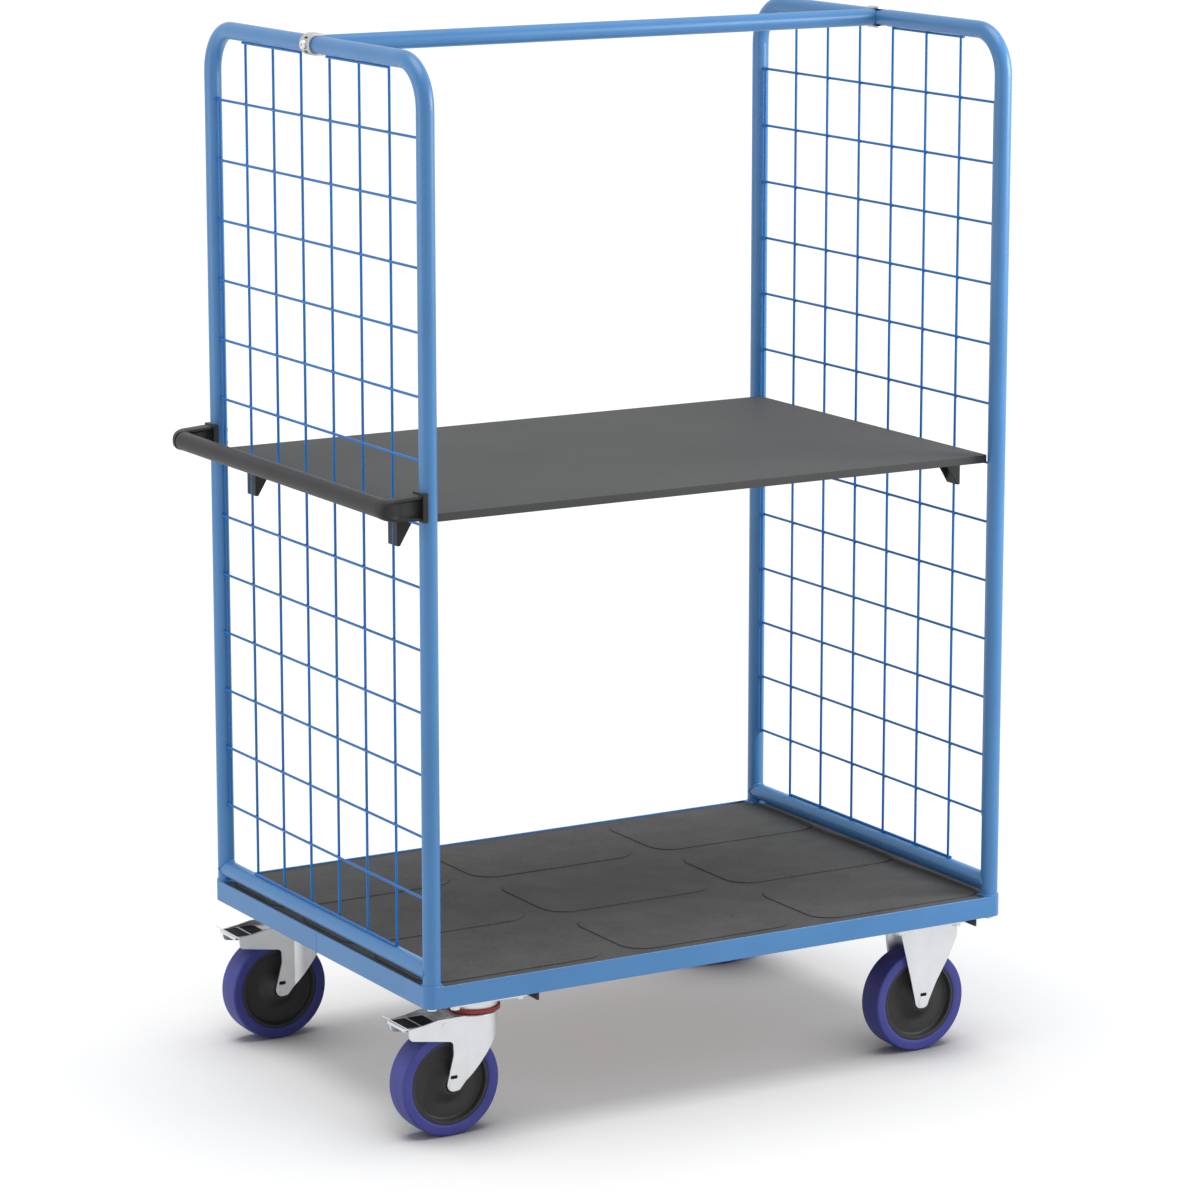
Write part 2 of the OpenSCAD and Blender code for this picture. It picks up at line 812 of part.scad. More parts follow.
// Cap on the end of the bar, rounded on its outer end
module arm_cap(cap_r) {
    translate([0, -cap_out, 0]) rotate([-90, 0, 0]) rotate_extrude() {
        intersection() {
            circle(r = cap_r);
            translate([0, -cap_r]) square(cap_r);
        }
        square([cap_r, cap_in + cap_out]);
    }
}

module handle_arm(turned) {
    color(black) mirror([0, turned, 0])
        translate([left_x, -post_y, handle_z]) arm_at_origin();
}

module front_handle_arm() {
    handle_arm(0);
}

module rear_handle_arm() {
    handle_arm(1);
}

module handle_bolts() {
    color(steel) translate([left_x, 0, rim_top]) at_arm_bolts()
        translate([tube_r, 0, 0]) rotate([0, 90, 0])
            button_screw(arm_bolt_d, tube_d + arm_bolt_depth);
}

// Casters, each drawn about its plate's centre

module at_caster(cx, sy) {
    translate([cx, sy * caster_y, 0]) children();
}

// Bolts from below, each with its washer
module caster_bolts() {
    grip = caster_washer_t + plate_t + member_t + caster_bolt_grip;
    color(zinc) at_caster_bolts() translate([0, 0, -caster_washer_t]) {
        hex_bolt(caster_bolt_d, grip);
        cylinder(d = caster_washer_d, h = caster_washer_t);
    }
}

module caster_nuts() {
    color(zinc) at_caster_bolts() translate([0, 0, plate_t + member_t]) difference() {
        cylinder(d = head_d(caster_bolt_d), h = caster_nut_h, $fn = 6);
        translate([0, 0, -eps]) cylinder(d = caster_bolt_d + 2 * run_gap, h = caster_nut_h + 2 * eps);
    }
}

module plate_slab() {
    difference() {
        translate([0, 0, plate_bottom]) linear_extrude(plate_t) rounded_rect(plate_l, plate_w, plate_r);
        translate([0, 0, plate_bottom - eps]) plate_bolt_grid()
            cylinder(d = caster_bolt_d + hole_gap, h = plate_t + 2 * eps);
    }
}

// Ring-shaped groove that the swivel balls run in
module ball_groove(clearance) {
    translate([0, 0, ball_z])
        rotate_extrude() translate([ball_ring_r, 0]) circle(d = ball_d + 2 * clearance);
}

module swivel_plate(sy) {
    color(zinc) at_caster(swivel_x, sy) difference() {
        union() {
            plate_slab();
            translate([0, 0, race_bottom]) cylinder(d = race_d, h = plate_bottom - race_bottom);
        }
        ball_groove(run_gap);
        cylinder(d = kingpin_d + 2 * fit_gap, h = caster_h + 1);
    }
}

module swivel_seal(sy) {
    inner_r = race_d / 2 + fit_gap;
    color(seal_red) at_caster(swivel_x, sy) translate([0, 0, seal_bottom])
        rotate_extrude() translate([inner_r, 0]) square([seal_wall, seal_top - seal_bottom]);
}

module swivel_balls(sy) {
    color(steel) at_caster(swivel_x, sy)
        for (ball = [0:ball_n - 1])
            rotate(ball * 360 / ball_n) translate([ball_ring_r, 0, ball_z]) sphere(d = ball_d);
}

// Kingpin: riveted head on the plate, shank through the crown, nut below the crown
module kingpin(sy) {
    head_t = 5;
    nut_top = crown_bottom - side_gap;
    nut_bottom = nut_top - king_nut_h;
    color(steel) at_caster(swivel_x, sy) {
        translate([0, 0, caster_h]) cylinder(d1 = 2 * kingpin_d, d2 = 1.5 * kingpin_d, h = head_t);
        translate([0, 0, nut_bottom]) cylinder(d = kingpin_d, h = caster_h - nut_bottom);
        translate([0, 0, nut_bottom]) cylinder(d = head_d(kingpin_d), h = king_nut_h, $fn = 6);
    }
}

// Side view of the swivel fork from tail to nose, with X measured from the swivel axis
module swivel_side() {
    difference() {
        union() {
            translate([-trail, axle_z])
                polygon(concat(swivel_tail,
                    [[swivel_shoulder, crown_top - axle_z], [trail + nose_front, crown_top - axle_z],
                     [trail + nose_front, nose_high], [trail, nose_low]],
                    swivel_leg, [[-tip_r, tip_side]], swivel_throat));
            translate([-trail, axle_z]) circle(r = tip_r);
        }
        translate([-trail, axle_z]) axle_hole();
        translate([pivot_x, pivot_z]) circle(d = pivot_d + 2 * fit_gap);
    }
}

// Axle hole and the slot above it
module axle_hole() {
    circle(d = axle_d + 2 * fit_gap);
    translate([-slot_l / 2, slot_up]) square([slot_l, slot_h]);
}

// Plan of the swivel fork's outer face: flat cheeks that open into the round nose
module swivel_plan(half, r, rear) {
    translate([-nose_back, 0]) circle(r = r);
    translate([-rear, -half]) square([rear, 2 * half]);
}

module swivel_fork(sy) {
    rear = trail + pedal_reach;
    color(zinc) at_caster(swivel_x, sy) difference() {
        union() {
            intersection() {
                linear_extrude(crown_top)
                    difference() {
                        swivel_plan(cheek_out, nose_r, rear);
                        swivel_plan(cheek_in, nose_r - fork_t, rear + cut);
                    }
                upright(4 * fork_w) swivel_side();
            }
            translate([0, 0, crown_bottom])
                linear_extrude(crown_t) swivel_plan(cheek_out - fork_t / 2, nose_r - fork_t / 2, crown_rear);
            translate([0, 0, crown_top - eps])
                cylinder(d = inner_race_d, h = inner_race_top - crown_top + eps);
        }
        crown_bore();
    }
}

// Running bore for the kingpin, with room for the balls' lowest points
module crown_bore() {
    translate([0, 0, crown_bottom - cut])
        cylinder(d = kingpin_d + 2 * run_gap, h = inner_race_top - crown_bottom + 2 * cut);
    ball_groove(side_gap / 2);
}

// Axle bolt across a fork: flat round head on one cheek, nut on the other
module axle(cx, sy, back) {
    color(zinc) at_caster(cx, sy) translate([-back, 0, axle_z]) {
        rod_y(axle_d, fork_w);
        translate([0, -cheek_out - axle_head_t / 2, 0]) rod_y(axle_head_d, axle_head_t);
        translate([0, cheek_out + axle_nut_h, 0]) rotate([90, 0, 0])
            cylinder(d = axle_nut_d, h = axle_nut_h, $fn = 6);
    }
}

module tyre(cx, sy, back) {
    flat = tyre_w / 2 - shoulder_r;
    color(tyre_blue) at_caster(cx, sy) translate([-back, 0, axle_z]) rotate([90, 0, 0])
        rotate_extrude($fn = 128) {
            translate([hub_r, -tyre_w / 2]) square([tyre_t - shoulder_r, tyre_w]);
            translate([hub_r, -flat]) square([tyre_t, 2 * flat]);
            for (side = [-1, 1])
                translate([wheel_r - shoulder_r, side * flat]) circle(r = shoulder_r);
        }
}

// Half section of the hub: rim, dished web and long boss
module hub_section() {
    rim_half = tyre_w / 2 - hub_recess;
    web_edge = rim_half - hub_step;
    boss_r = hub_boss_d / 2;
    web = hub_web_t / 2;
    rim_in = hub_r - fit_gap - hub_rim_t;
    translate([rim_in, -rim_half]) square([hub_rim_t, 2 * rim_half]);
    translate([bearing_d / 2 + fit_gap, -hub_half])
        square([boss_r - bearing_d / 2 - fit_gap, 2 * hub_half]);
    polygon([[boss_r - cut, -web], [rim_in + cut, -web_edge], [rim_in + cut, web_edge], [boss_r - cut, web]]);
}

module hub(cx, sy, back) {
    color(grey) at_caster(cx, sy) translate([-back, 0, axle_z]) rotate([90, 0, 0])
        rotate_extrude($fn = 128) hub_section();
}

module bearing(cx, sy, back) {
    color(steel) at_caster(cx, sy) translate([-back, 0, axle_z]) difference() {
        rod_y(bearing_d, 2 * hub_half);
        rod_y(axle_d + 2 * run_gap, 2 * hub_half + cut);
    }
}

// Brake pedal: tread frame with a window, side flanges on the pin, brake shoe and tread lip
module brake_pedal(sy) {
    inner_end = pivot_x + pedal_front;
    length = inner_end - pedal_end;
    window_w = pedal_half;
    shoe_bottom = shoe_face + shoe_travel + shoe_gap;
    color(zinc) at_caster(swivel_x, sy) difference() {
        union() {
            translate([pedal_end, -pedal_half, pedal_top - pedal_t]) cube([length, 2 * pedal_half, pedal_t]);
            for (side = [-1, 1])
                translate([0, side * (pedal_half - pedal_t / 2), 0])
                    upright(pedal_t)
                        polygon([[inner_end, pedal_top], [inner_end, pedal_top - pedal_flange_h],
                                 [shoe_x, pedal_top - pedal_flange_h], [pedal_end, pedal_top - pedal_t],
                                 [pedal_end, pedal_top]]);
            translate([pedal_end - lip_t, -pedal_lip_w / 2, pedal_top - lip_h + pedal_t])
                cube([lip_t, pedal_lip_w, lip_h]);
            translate([shoe_x - shoe_l / 2, -pedal_half / 2, shoe_bottom])
                cube([shoe_l, pedal_half, pedal_top - shoe_bottom - eps]);
        }
        translate([pivot_x, 0, pivot_z]) rod_y(pivot_d + 2 * run_gap, 2 * fork_w);
        translate([pedal_end + window_edge, -window_w / 2, pedal_top - pedal_t - cut])
            cube([window_l, window_w, pedal_t + 2 * cut]);
    }
}

module brake_pin(sy) {
    color(zinc) at_caster(swivel_x, sy) translate([pivot_x, 0, pivot_z]) {
        rod_y(pivot_d, fork_w);
        for (side = [-1, 1])
            translate([0, side * (cheek_out + pin_head_t / 2), 0]) rod_y(pin_head_d, pin_head_t);
    }
}

// Side view of the fixed fork's cheek, with X measured from the axle
module fixed_cheek() {
    top = plate_bottom - axle_z;
    translate([0, axle_z]) difference() {
        union() {
            polygon(concat([[fixed_top[1], top]], fixed_front, [[-tip_r, tip_side]], fixed_rear,
                [[fixed_top[0], top]]));
            circle(r = tip_r);
        }
        axle_hole();
    }
}

module fixed_fork(sy) {
    color(zinc) at_caster(fixed_x, sy) {
        plate_slab();
        for (side = [-1, 1])
            translate([0, side * (cheek_out - fork_t / 2), 0]) upright(fork_t) fixed_cheek();
    }
}

base_frame();
cross_members();
deck_board();
deck_mat();
left_end_frame();
right_end_frame();
left_mesh();
right_mesh();
post_plugs();
post_bolts();
cross_tube();
cross_tube_plugs();
left_cross_clip();
right_cross_clip();
cross_screws();
shelf_board();
left_front_bracket();
left_rear_bracket();
right_front_bracket();
right_rear_bracket();
handle_bar();
front_handle_arm();
rear_handle_arm();
handle_bolts();
caster_bolts();
caster_nuts();
swivel_plate(-1);  // front_swivel_plate
swivel_seal(-1);  // front_swivel_seal
swivel_balls(-1);  // front_swivel_balls
kingpin(-1);  // front_kingpin
swivel_fork(-1);  // front_swivel_fork
axle(swivel_x, -1, trail);  // front_swivel_axle
tyre(swivel_x, -1, trail);  // front_swivel_tyre
hub(swivel_x, -1, trail);  // front_swivel_hub
bearing(swivel_x, -1, trail);  // front_swivel_bearing
brake_pedal(-1);  // front_brake_pedal
brake_pin(-1);  // front_brake_pin
swivel_plate(1);  // rear_swivel_plate
swivel_seal(1);  // rear_swivel_seal
swivel_balls(1);  // rear_swivel_balls
kingpin(1);  // rear_kingpin
swivel_fork(1);  // rear_swivel_fork
axle(swivel_x, 1, trail);  // rear_swivel_axle
tyre(swivel_x, 1, trail);  // rear_swivel_tyre
hub(swivel_x, 1, trail);  // rear_swivel_hub
bearing(swivel_x, 1, trail);  // rear_swivel_bearing
brake_pedal(1);  // rear_brake_pedal
brake_pin(1);  // rear_brake_pin
fixed_fork(-1);  // front_fixed_fork
axle(fixed_x, -1, 0);  // front_fixed_axle
tyre(fixed_x, -1, 0);  // front_fixed_tyre
hub(fixed_x, -1, 0);  // front_fixed_hub
bearing(fixed_x, -1, 0);  // front_fixed_bearing
fixed_fork(1);  // rear_fixed_fork
axle(fixed_x, 1, 0);  // rear_fixed_axle
tyre(fixed_x, 1, 0);  // rear_fixed_tyre
hub(fixed_x, 1, 0);  // rear_fixed_hub
bearing(fixed_x, 1, 0);  // rear_fixed_bearing
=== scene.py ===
import json
import math
import bmesh
import bpy
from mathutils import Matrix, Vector

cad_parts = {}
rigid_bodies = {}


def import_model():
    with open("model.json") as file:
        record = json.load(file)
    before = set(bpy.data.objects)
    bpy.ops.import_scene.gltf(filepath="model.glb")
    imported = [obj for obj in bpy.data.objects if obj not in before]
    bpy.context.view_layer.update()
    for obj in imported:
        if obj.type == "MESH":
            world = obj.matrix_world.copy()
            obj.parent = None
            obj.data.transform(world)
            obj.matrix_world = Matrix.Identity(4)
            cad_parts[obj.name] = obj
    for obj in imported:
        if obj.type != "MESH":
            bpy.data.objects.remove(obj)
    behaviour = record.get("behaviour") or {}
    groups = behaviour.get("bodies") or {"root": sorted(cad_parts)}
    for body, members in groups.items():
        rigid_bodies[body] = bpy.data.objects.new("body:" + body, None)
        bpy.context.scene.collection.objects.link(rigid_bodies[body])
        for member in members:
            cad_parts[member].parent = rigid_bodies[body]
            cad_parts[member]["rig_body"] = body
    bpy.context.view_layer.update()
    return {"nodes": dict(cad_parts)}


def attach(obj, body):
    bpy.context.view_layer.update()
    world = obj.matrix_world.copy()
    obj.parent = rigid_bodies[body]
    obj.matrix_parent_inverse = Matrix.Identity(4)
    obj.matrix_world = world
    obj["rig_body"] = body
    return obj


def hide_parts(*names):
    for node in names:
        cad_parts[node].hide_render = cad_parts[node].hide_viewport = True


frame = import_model()
nodes = frame["nodes"]
scene = bpy.context.scene
scene.view_settings.view_transform = "Standard"
mm = 0.001
touching = 1e-3  # millimetres
print("frame loaded:", len(nodes), "nodes")


# camera: worked out from the vanishing points of the photograph
camera = dict(place=(-3.4526, -5.9161, 2.1297), azimuth=30.41, pitch=11.80, lens=138.17, sensor=36, far=200)

lens = bpy.data.cameras.new("photoCamera")
lens.lens = camera["lens"]
lens.sensor_width = camera["sensor"]
lens.clip_end = camera["far"]
eye = bpy.data.objects.new("photoCamera", lens)
eye.location = camera["place"]
eye.rotation_euler = (math.radians(90 - camera["pitch"]), 0, math.radians(-camera["azimuth"]))
scene.collection.objects.link(eye)
scene.camera = eye


# sRGB hex to the linear values that shaders take
def linear(colour):
    channels = [int(colour[i:i + 2], 16) / 255 for i in (1, 3, 5)]
    return [c / 12.92 if c <= 0.04045 else ((c + 0.055) / 1.055) ** 2.4 for c in channels] + [1.0]


# A new node: settings are its own values, wires its inputs by name, or by i and number
def addNode(tree, kind, settings=None, **wires):
    node = tree.nodes.new(kind)
    for key, value in (settings or {}).items():
        setattr(node, key, value)
    for key, value in wires.items():
        socket = node.inputs[int(key[1:])] if key[1:].isdigit() else node.inputs[key.replace("_", " ")]
        if isinstance(value, bpy.types.NodeSocket):
            tree.links.new(value, socket)
        else:
            socket.default_value = value
    return node


# studio: a white floor that keeps the shadow and has a painted contact shadow in its glow, one broad lamp
# overhead, weaker ones from the sides
studio = dict(floor=60, floorColour="#ffffff", glow=0.28, ambient=0.42, sky="#ffffff",
              contact=0.16, contactSpan=(0.5, 0.97), contactSamples=8, touch=0.0,
              overhead=dict(strength=2.2, spread=48),
              rightCard=dict(power=56, size=(1.2, 1.2), place=(1.9, -1.5, 1.75), aim=(0.35, 0.0, 0.6)),
              leftCard=dict(power=15, size=(1.6, 1.6), place=(-2.6, 0.4, 1.3), aim=(0.0, 0.0, 0.8)))


# 1 for the rays that show the background to the eye, directly or in metal, else 0
def seenRays(tree):
    rays = addNode(tree, "ShaderNodeLightPath")
    shown = addNode(tree, "ShaderNodeMath", dict(operation="MAXIMUM"),
                    i0=rays.outputs["Is Camera Ray"], i1=rays.outputs["Is Glossy Ray"])
    return addNode(tree, "ShaderNodeMath", dict(operation="MAXIMUM"),
                   i0=shown.outputs[0], i1=rays.outputs["Is Transmission Ray"]).outputs[0]


def setStudio(spec):
    world = bpy.data.worlds.new("studioWorld")
    scene.world = world
    world.use_nodes = True
    tree = world.node_tree
    tree.nodes.clear()
    strength = addNode(tree, "ShaderNodeMapRange", Value=seenRays(tree), To_Min=spec["ambient"],
                       To_Max=1.0)
    sky = addNode(tree, "ShaderNodeBackground", Color=linear(spec["sky"]), Strength=strength.outputs[0])
    addNode(tree, "ShaderNodeOutputWorld", Surface=sky.outputs[0])

    paint = bpy.data.materials.new("studioFloor")
    paint.use_nodes = True
    tree = paint.node_tree
    tree.nodes.clear()
    darkest, clear = spec["contactSpan"]
    # the glow fades by ambient occlusion near the trolley, down to nothing where it touches: painted contact
    # shadow on the floor
    near = addNode(tree, "ShaderNodeAmbientOcclusion", dict(samples=spec["contactSamples"]),
                   Color=linear(spec["floorColour"]), Distance=spec["contact"])
    paintedContactShade = addNode(tree, "ShaderNodeMapRange", Value=near.outputs["AO"], From_Min=darkest, From_Max=clear,
                  To_Min=spec["touch"])
    matt = addNode(tree, "ShaderNodeBsdfDiffuse", Color=linear(spec["floorColour"]))
    glow = addNode(tree, "ShaderNodeEmission", Strength=paintedContactShade.outputs[0])
    share = addNode(tree, "ShaderNodeMath", dict(operation="MULTIPLY"), i0=seenRays(tree), i1=spec["glow"])
    both = addNode(tree, "ShaderNodeMixShader", i0=share.outputs[0], i1=matt.outputs[0],
                   i2=glow.outputs[0])
    addNode(tree, "ShaderNodeOutputMaterial", Surface=both.outputs[0])

    half = spec["floor"] / 2
    mesh = bpy.data.meshes.new("studioFloor")
    corners = [(-half, -half, 0), (half, -half, 0), (half, half, 0), (-half, half, 0)]
    mesh.from_pydata(corners, [], [(0, 1, 2, 3)])
    mesh.materials.append(paint)
    floor = bpy.data.objects.new("studioFloor", mesh)
    scene.collection.objects.link(floor)

    sun = bpy.data.lights.new("overhead", "SUN")
    sun.energy = spec["overhead"]["strength"]
    sun.angle = math.radians(spec["overhead"]["spread"])
    scene.collection.objects.link(bpy.data.objects.new("overhead", sun))

    # the side cards light the trolley alone, so the floor keeps the plain shadow of the overhead lamp
    unlit = bpy.data.collections.new("unlitFloor")
    unlit.objects.link(floor)
    unlit.collection_objects[0].light_linking.link_state = "EXCLUDE"
    for name in ("rightCard", "leftCard"):
        card = spec[name]
        area = bpy.data.lights.new(name, "AREA")
        area.shape = "RECTANGLE"
        area.energy = card["power"]
        area.size, area.size_y = card["size"]
        lamp = bpy.data.objects.new(name, area)
        lamp.location = card["place"]
        lamp.rotation_euler = (Vector(card["aim"]) - lamp.location).to_track_quat("-Z", "Y").to_euler()
        lamp.light_linking.receiver_collection = unlit
        scene.collection.objects.link(lamp)


setStudio(studio)
print("studio set")


# finishes: sizes in millimetres, tones as sRGB
def perMetre(size):
    return 1000 / size


blotchNoise = dict(Detail=3.0, Roughness=0.55)
grainNoise = dict(Detail=2.0, Roughness=0.5)
toneStops = (0.3, 0.7)


# A shader with two close tones in soft blotches, and a fine grain in its bump and roughness
def newFinish(name, spec):
    material = bpy.data.materials.new(name)
    material.use_nodes = True
    tree = material.node_tree
    shader = tree.nodes["Principled BSDF"]
    shader.inputs["Metallic"].default_value = spec.get("metallic", 0.0)
    shader.inputs["Specular IOR Level"].default_value = spec.get("specular", 0.5)
    place = addNode(tree, "ShaderNodeTexCoord").outputs["Object"]
    blotch = addNode(tree, "ShaderNodeTexNoise", Vector=place, Scale=perMetre(spec["blotch"]),
                     **blotchNoise)
    tone = addNode(tree, "ShaderNodeValToRGB", Fac=blotch.outputs["Fac"])
    for stop, position, colour in zip(tone.color_ramp.elements, toneStops, spec["tones"]):
        stop.position = position
        stop.color = linear(colour)
    grain = addNode(tree, "ShaderNodeTexNoise", Vector=place, Scale=perMetre(spec["grain"]), **grainNoise)
    rough = addNode(tree, "ShaderNodeMapRange", Value=grain.outputs["Fac"],
                    To_Min=spec["roughness"] - spec["roughSpan"],
                    To_Max=spec["roughness"] + spec["roughSpan"])
    bump = addNode(tree, "ShaderNodeBump", Height=grain.outputs["Fac"],
                   Strength=spec["bump"], Distance=spec["relief"] * mm)
    tree.links.new(tone.outputs["Color"], shader.inputs["Base Color"])
    tree.links.new(rough.outputs[0], shader.inputs["Roughness"])
    tree.links.new(bump.outputs[0], shader.inputs["Normal"])
    return dict(material=material, tree=tree, shader=shader, place=place, tone=tone.outputs["Color"])


# polyester powder coat on steel: satin blue with a faint orange peel, real peel 1 mm, drawn at 2.4 to show
powderCoat = newFinish("polyesterPowderCoat", dict(
    tones=("#3d76ab", "#447db3"), blotch=140, grain=2.4,
    roughness=0.36, roughSpan=0.05, bump=0.35, relief=0.03))

# the same coat on thin wire: deeper, as it runs off the round and lies thinner
wireCoat = newFinish("wirePowderCoat", dict(
    tones=("#1463aa", "#1c6db4"), specular=0.25, blotch=90, grain=2.4,
    roughness=0.36, roughSpan=0.05, bump=0.25, relief=0.02))

# crumb rubber mat: matt charcoal, crumbs of 3 mm in slightly different greys that catch the light
rubberMat = newFinish("crumbRubberMat", dict(
    tones=("#424243", "#4b4b4c"), specular=0.25, blotch=60, grain=2.6,
    roughness=0.82, roughSpan=0.1, bump=0.6, relief=0.25))

# phenolic laminate: flat satin grey film with a fine press texture, real 0.5 mm, drawn at 2
laminate = newFinish("phenolicLaminate", dict(
    tones=("#434444", "#484949"), blotch=220, grain=2.0,
    specular=0.12, roughness=0.65, roughSpan=0.06, bump=0.25, relief=0.03))

# birch plywood, brown film: veneers of 1.4 mm show at the cut edge
plywood = newFinish("birchPlywood", dict(
    tones=("#7d4f2c", "#91603a"), blotch=30, grain=1.2,
    roughness=0.7, roughSpan=0.1, bump=0.3, relief=0.1))

# zinc plated pressed steel: pale satin mirror with cloudy patches from the bath
zincPlate = newFinish("zincPlatedSteel", dict(
    tones=("#d6d8da", "#dcdee0"), blotch=22, grain=1.6, metallic=1.0,
    roughness=0.4, roughSpan=0.05, bump=0.2, relief=0.02))

# passivated steel strap: duller and greyer than the pressed forks
strapSteel = newFinish("passivatedStrapSteel", dict(
    tones=("#b6b5b2", "#bfbebb"), blotch=12, grain=1.2, metallic=1.0,
    roughness=0.42, roughSpan=0.05, bump=0.2, relief=0.02))

# bright turned steel: greyer and sharper than the zinc
turnedSteel = newFinish("turnedSteel", dict(
    tones=("#a9abae", "#b9bbbe"), blotch=9, grain=0.9, metallic=1.0,
    roughness=0.28, roughSpan=0.06, bump=0.2, relief=0.01))

# elastic solid rubber, blue: moulded, waxy, slightly paler where it was handled
tyreRubber = newFinish("elasticSolidRubber", dict(
    tones=("#3c3f84", "#43468c"), specular=0.25, blotch=45, grain=1.8,
    roughness=0.52, roughSpan=0.07, bump=0.3, relief=0.05))

# moulded polyamide of the wheel body: dark grey, dull, fine spark texture
wheelPolyamide = newFinish("mouldedPolyamide", dict(
    tones=("#323232", "#383838"), specular=0.25, blotch=35, grain=1.4,
    roughness=0.5, roughSpan=0.06, bump=0.3, relief=0.04))

# soft vinyl of the dust seal: dull red
sealVinyl = newFinish("softVinylSeal", dict(
    tones=("#8c2424", "#9c2c2c"), blotch=12, grain=1.0,
    roughness=0.48, roughSpan=0.06, bump=0.25, relief=0.03))

# glass filled nylon of arms and brackets: black with a grey veil from the fibres
filledNylon = newFinish("glassFilledNylon", dict(
    tones=("#191a1b", "#202122"), specular=0.32, blotch=18, grain=1.5,
    roughness=0.5, roughSpan=0.07, bump=0.35, relief=0.05))

# near black and dull: sheets in the pedal windows, painted shade where one looks through them; also the
# bearings, painted shade in the fork slots
shadeBlack = newFinish("mouldedPadRubber", dict(
    tones=("#171718", "#1f1f20"), specular=0.2, blotch=20, grain=1.4,
    roughness=0.7, roughSpan=0.08, bump=0.4, relief=0.06))

# textured powder coat of the push bar: dark grey, fine sand texture
barCoat = newFinish("sandTexturedCoat", dict(
    tones=("#1f1f20", "#262627"), specular=0.3, blotch=70, grain=1.5,
    roughness=0.46, roughSpan=0.06, bump=0.4, relief=0.05))

# black dip paint of the channels under the deck
channelPaint = newFinish("blackDipPaint", dict(
    tones=("#1c1d1f", "#242528"), blotch=60, grain=2.2,
    roughness=0.5, roughSpan=0.08, bump=0.3, relief=0.04))

# veneers of the plywood follow its height, so they only show on cut edges
veneer = dict(pair=2.8, waver=0.6, share=0.45, waveUnit=20)  # a wave runs 20 radians to the unit
bands = addNode(plywood["tree"], "ShaderNodeTexWave", dict(bands_direction="Z"), Vector=plywood["place"],
                Scale=perMetre(veneer["pair"]) / veneer["waveUnit"] * math.pi, Distortion=veneer["waver"])
layers = addNode(plywood["tree"], "ShaderNodeMix", dict(data_type="RGBA", blend_type="MULTIPLY"),
                 i0=veneer["share"], i6=plywood["tone"], i7=bands.outputs["Color"])
plywood["tree"].links.new(layers.outputs[2], plywood["shader"].inputs["Base Color"])

# cells of the rubber crumbs, over the soft blotches
crumb = dict(size=3.2, share=0.16)
cells = addNode(rubberMat["tree"], "ShaderNodeTexVoronoi", Vector=rubberMat["place"],
                Scale=perMetre(crumb["size"]))
speck = addNode(rubberMat["tree"], "ShaderNodeMix", dict(data_type="RGBA", blend_type="OVERLAY"),
                i0=crumb["share"], i6=rubberMat["tone"], i7=cells.outputs["Color"])
grey = addNode(rubberMat["tree"], "ShaderNodeHueSaturation", Saturation=0.0, Color=speck.outputs[2])
rubberMat["tree"].links.new(grey.outputs[0], rubberMat["shader"].inputs["Base Color"])

# crystals of the zinc, a few millimetres wide, in the roughness
spangle = dict(size=4.5, roughness=(0.37, 0.43))
crystals = addNode(zincPlate["tree"], "ShaderNodeTexVoronoi", Vector=zincPlate["place"],
                   Scale=perMetre(spangle["size"]))
shine = addNode(zincPlate["tree"], "ShaderNodeMapRange", Value=crystals.outputs["Color"],
                To_Min=spangle["roughness"][0], To_Max=spangle["roughness"][1])
zincPlate["tree"].links.new(shine.outputs[0], zincPlate["shader"].inputs["Roughness"])

slotFinish = {
    "blue_powder_coat": powderCoat, "dark_steel": channelPaint, "deck_plywood": plywood,
    "mat_rubber": rubberMat, "shelf_laminate": laminate, "black_plastic": filledNylon,
    "handle_grey": barCoat, "zinc_plate": zincPlate, "bare_steel": turnedSteel,
    "tyre_blue": tyreRubber, "hub_plastic": wheelPolyamide, "seal_red": sealVinyl,
}
nodeSlot = {}
nodeBody = {}
for name, part in nodes.items():
    nodeSlot[name] = part.data.materials[0].name.split(".")[0]
    nodeBody[name] = part["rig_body"]
    part.data.materials[0] = slotFinish[nodeSlot[name]]["material"]
    if name.endswith("_bearing"):
        part.data.materials[0] = shadeBlack["material"]  # the bearings take the near-black finish: painted shade in the fork slots where they show, their seals near black as well
print("finishes made:", len(slotFinish))


# A node's name as its piece is called
def pieceName(node):
    first, *rest = node.split("_")
    return first + "".join(word.capitalize() for word in rest)


# pieces: one called with a slot adds to the node, any other takes its place
def addPiece(bm, node, sharp=35, finish=None, slot=None, name=None):
    name = name or pieceName(node)
    mesh = bpy.data.meshes.new(name)
    bm.normal_update()
    bm.to_mesh(mesh)
    bm.free()
    piece = bpy.data.objects.new(name, mesh)
    scene.collection.objects.link(piece)
    mesh.materials.append((finish or slotFinish[nodeSlot[node]])["material"])
    mesh.shade_smooth()
    mesh.set_sharp_from_angle(angle=math.radians(sharp))
    even = piece.modifiers.new("evenShade", "WEIGHTED_NORMAL")
    even.keep_sharp = True
    settle(piece)
    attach(piece, nodeBody[node])
    if not slot:
        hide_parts(node)


# Turns what the modifiers give into a plain mesh
def settle(piece):
    shown = piece.evaluated_get(bpy.context.evaluated_depsgraph_get())
    plain = bpy.data.meshes.new_from_object(shown)
    old = piece.data
    piece.modifiers.clear()
    piece.data = plain
    plain.name = piece.name
    bpy.data.meshes.remove(old)


skin = dict(merge=0.004, flatAngle=0.5)  # millimetres and degrees


# A copy of a CAD node as one closed skin of clean faces
def skinOf(node):
    bm = bmesh.new()
    bm.from_mesh(nodes[node].data)
    bmesh.ops.remove_doubles(bm, verts=bm.verts, dist=skin["merge"] * mm)
    bmesh.ops.dissolve_limit(bm, angle_limit=math.radians(skin["flatAngle"]), verts=bm.verts,
                             edges=bm.edges)
    return bm


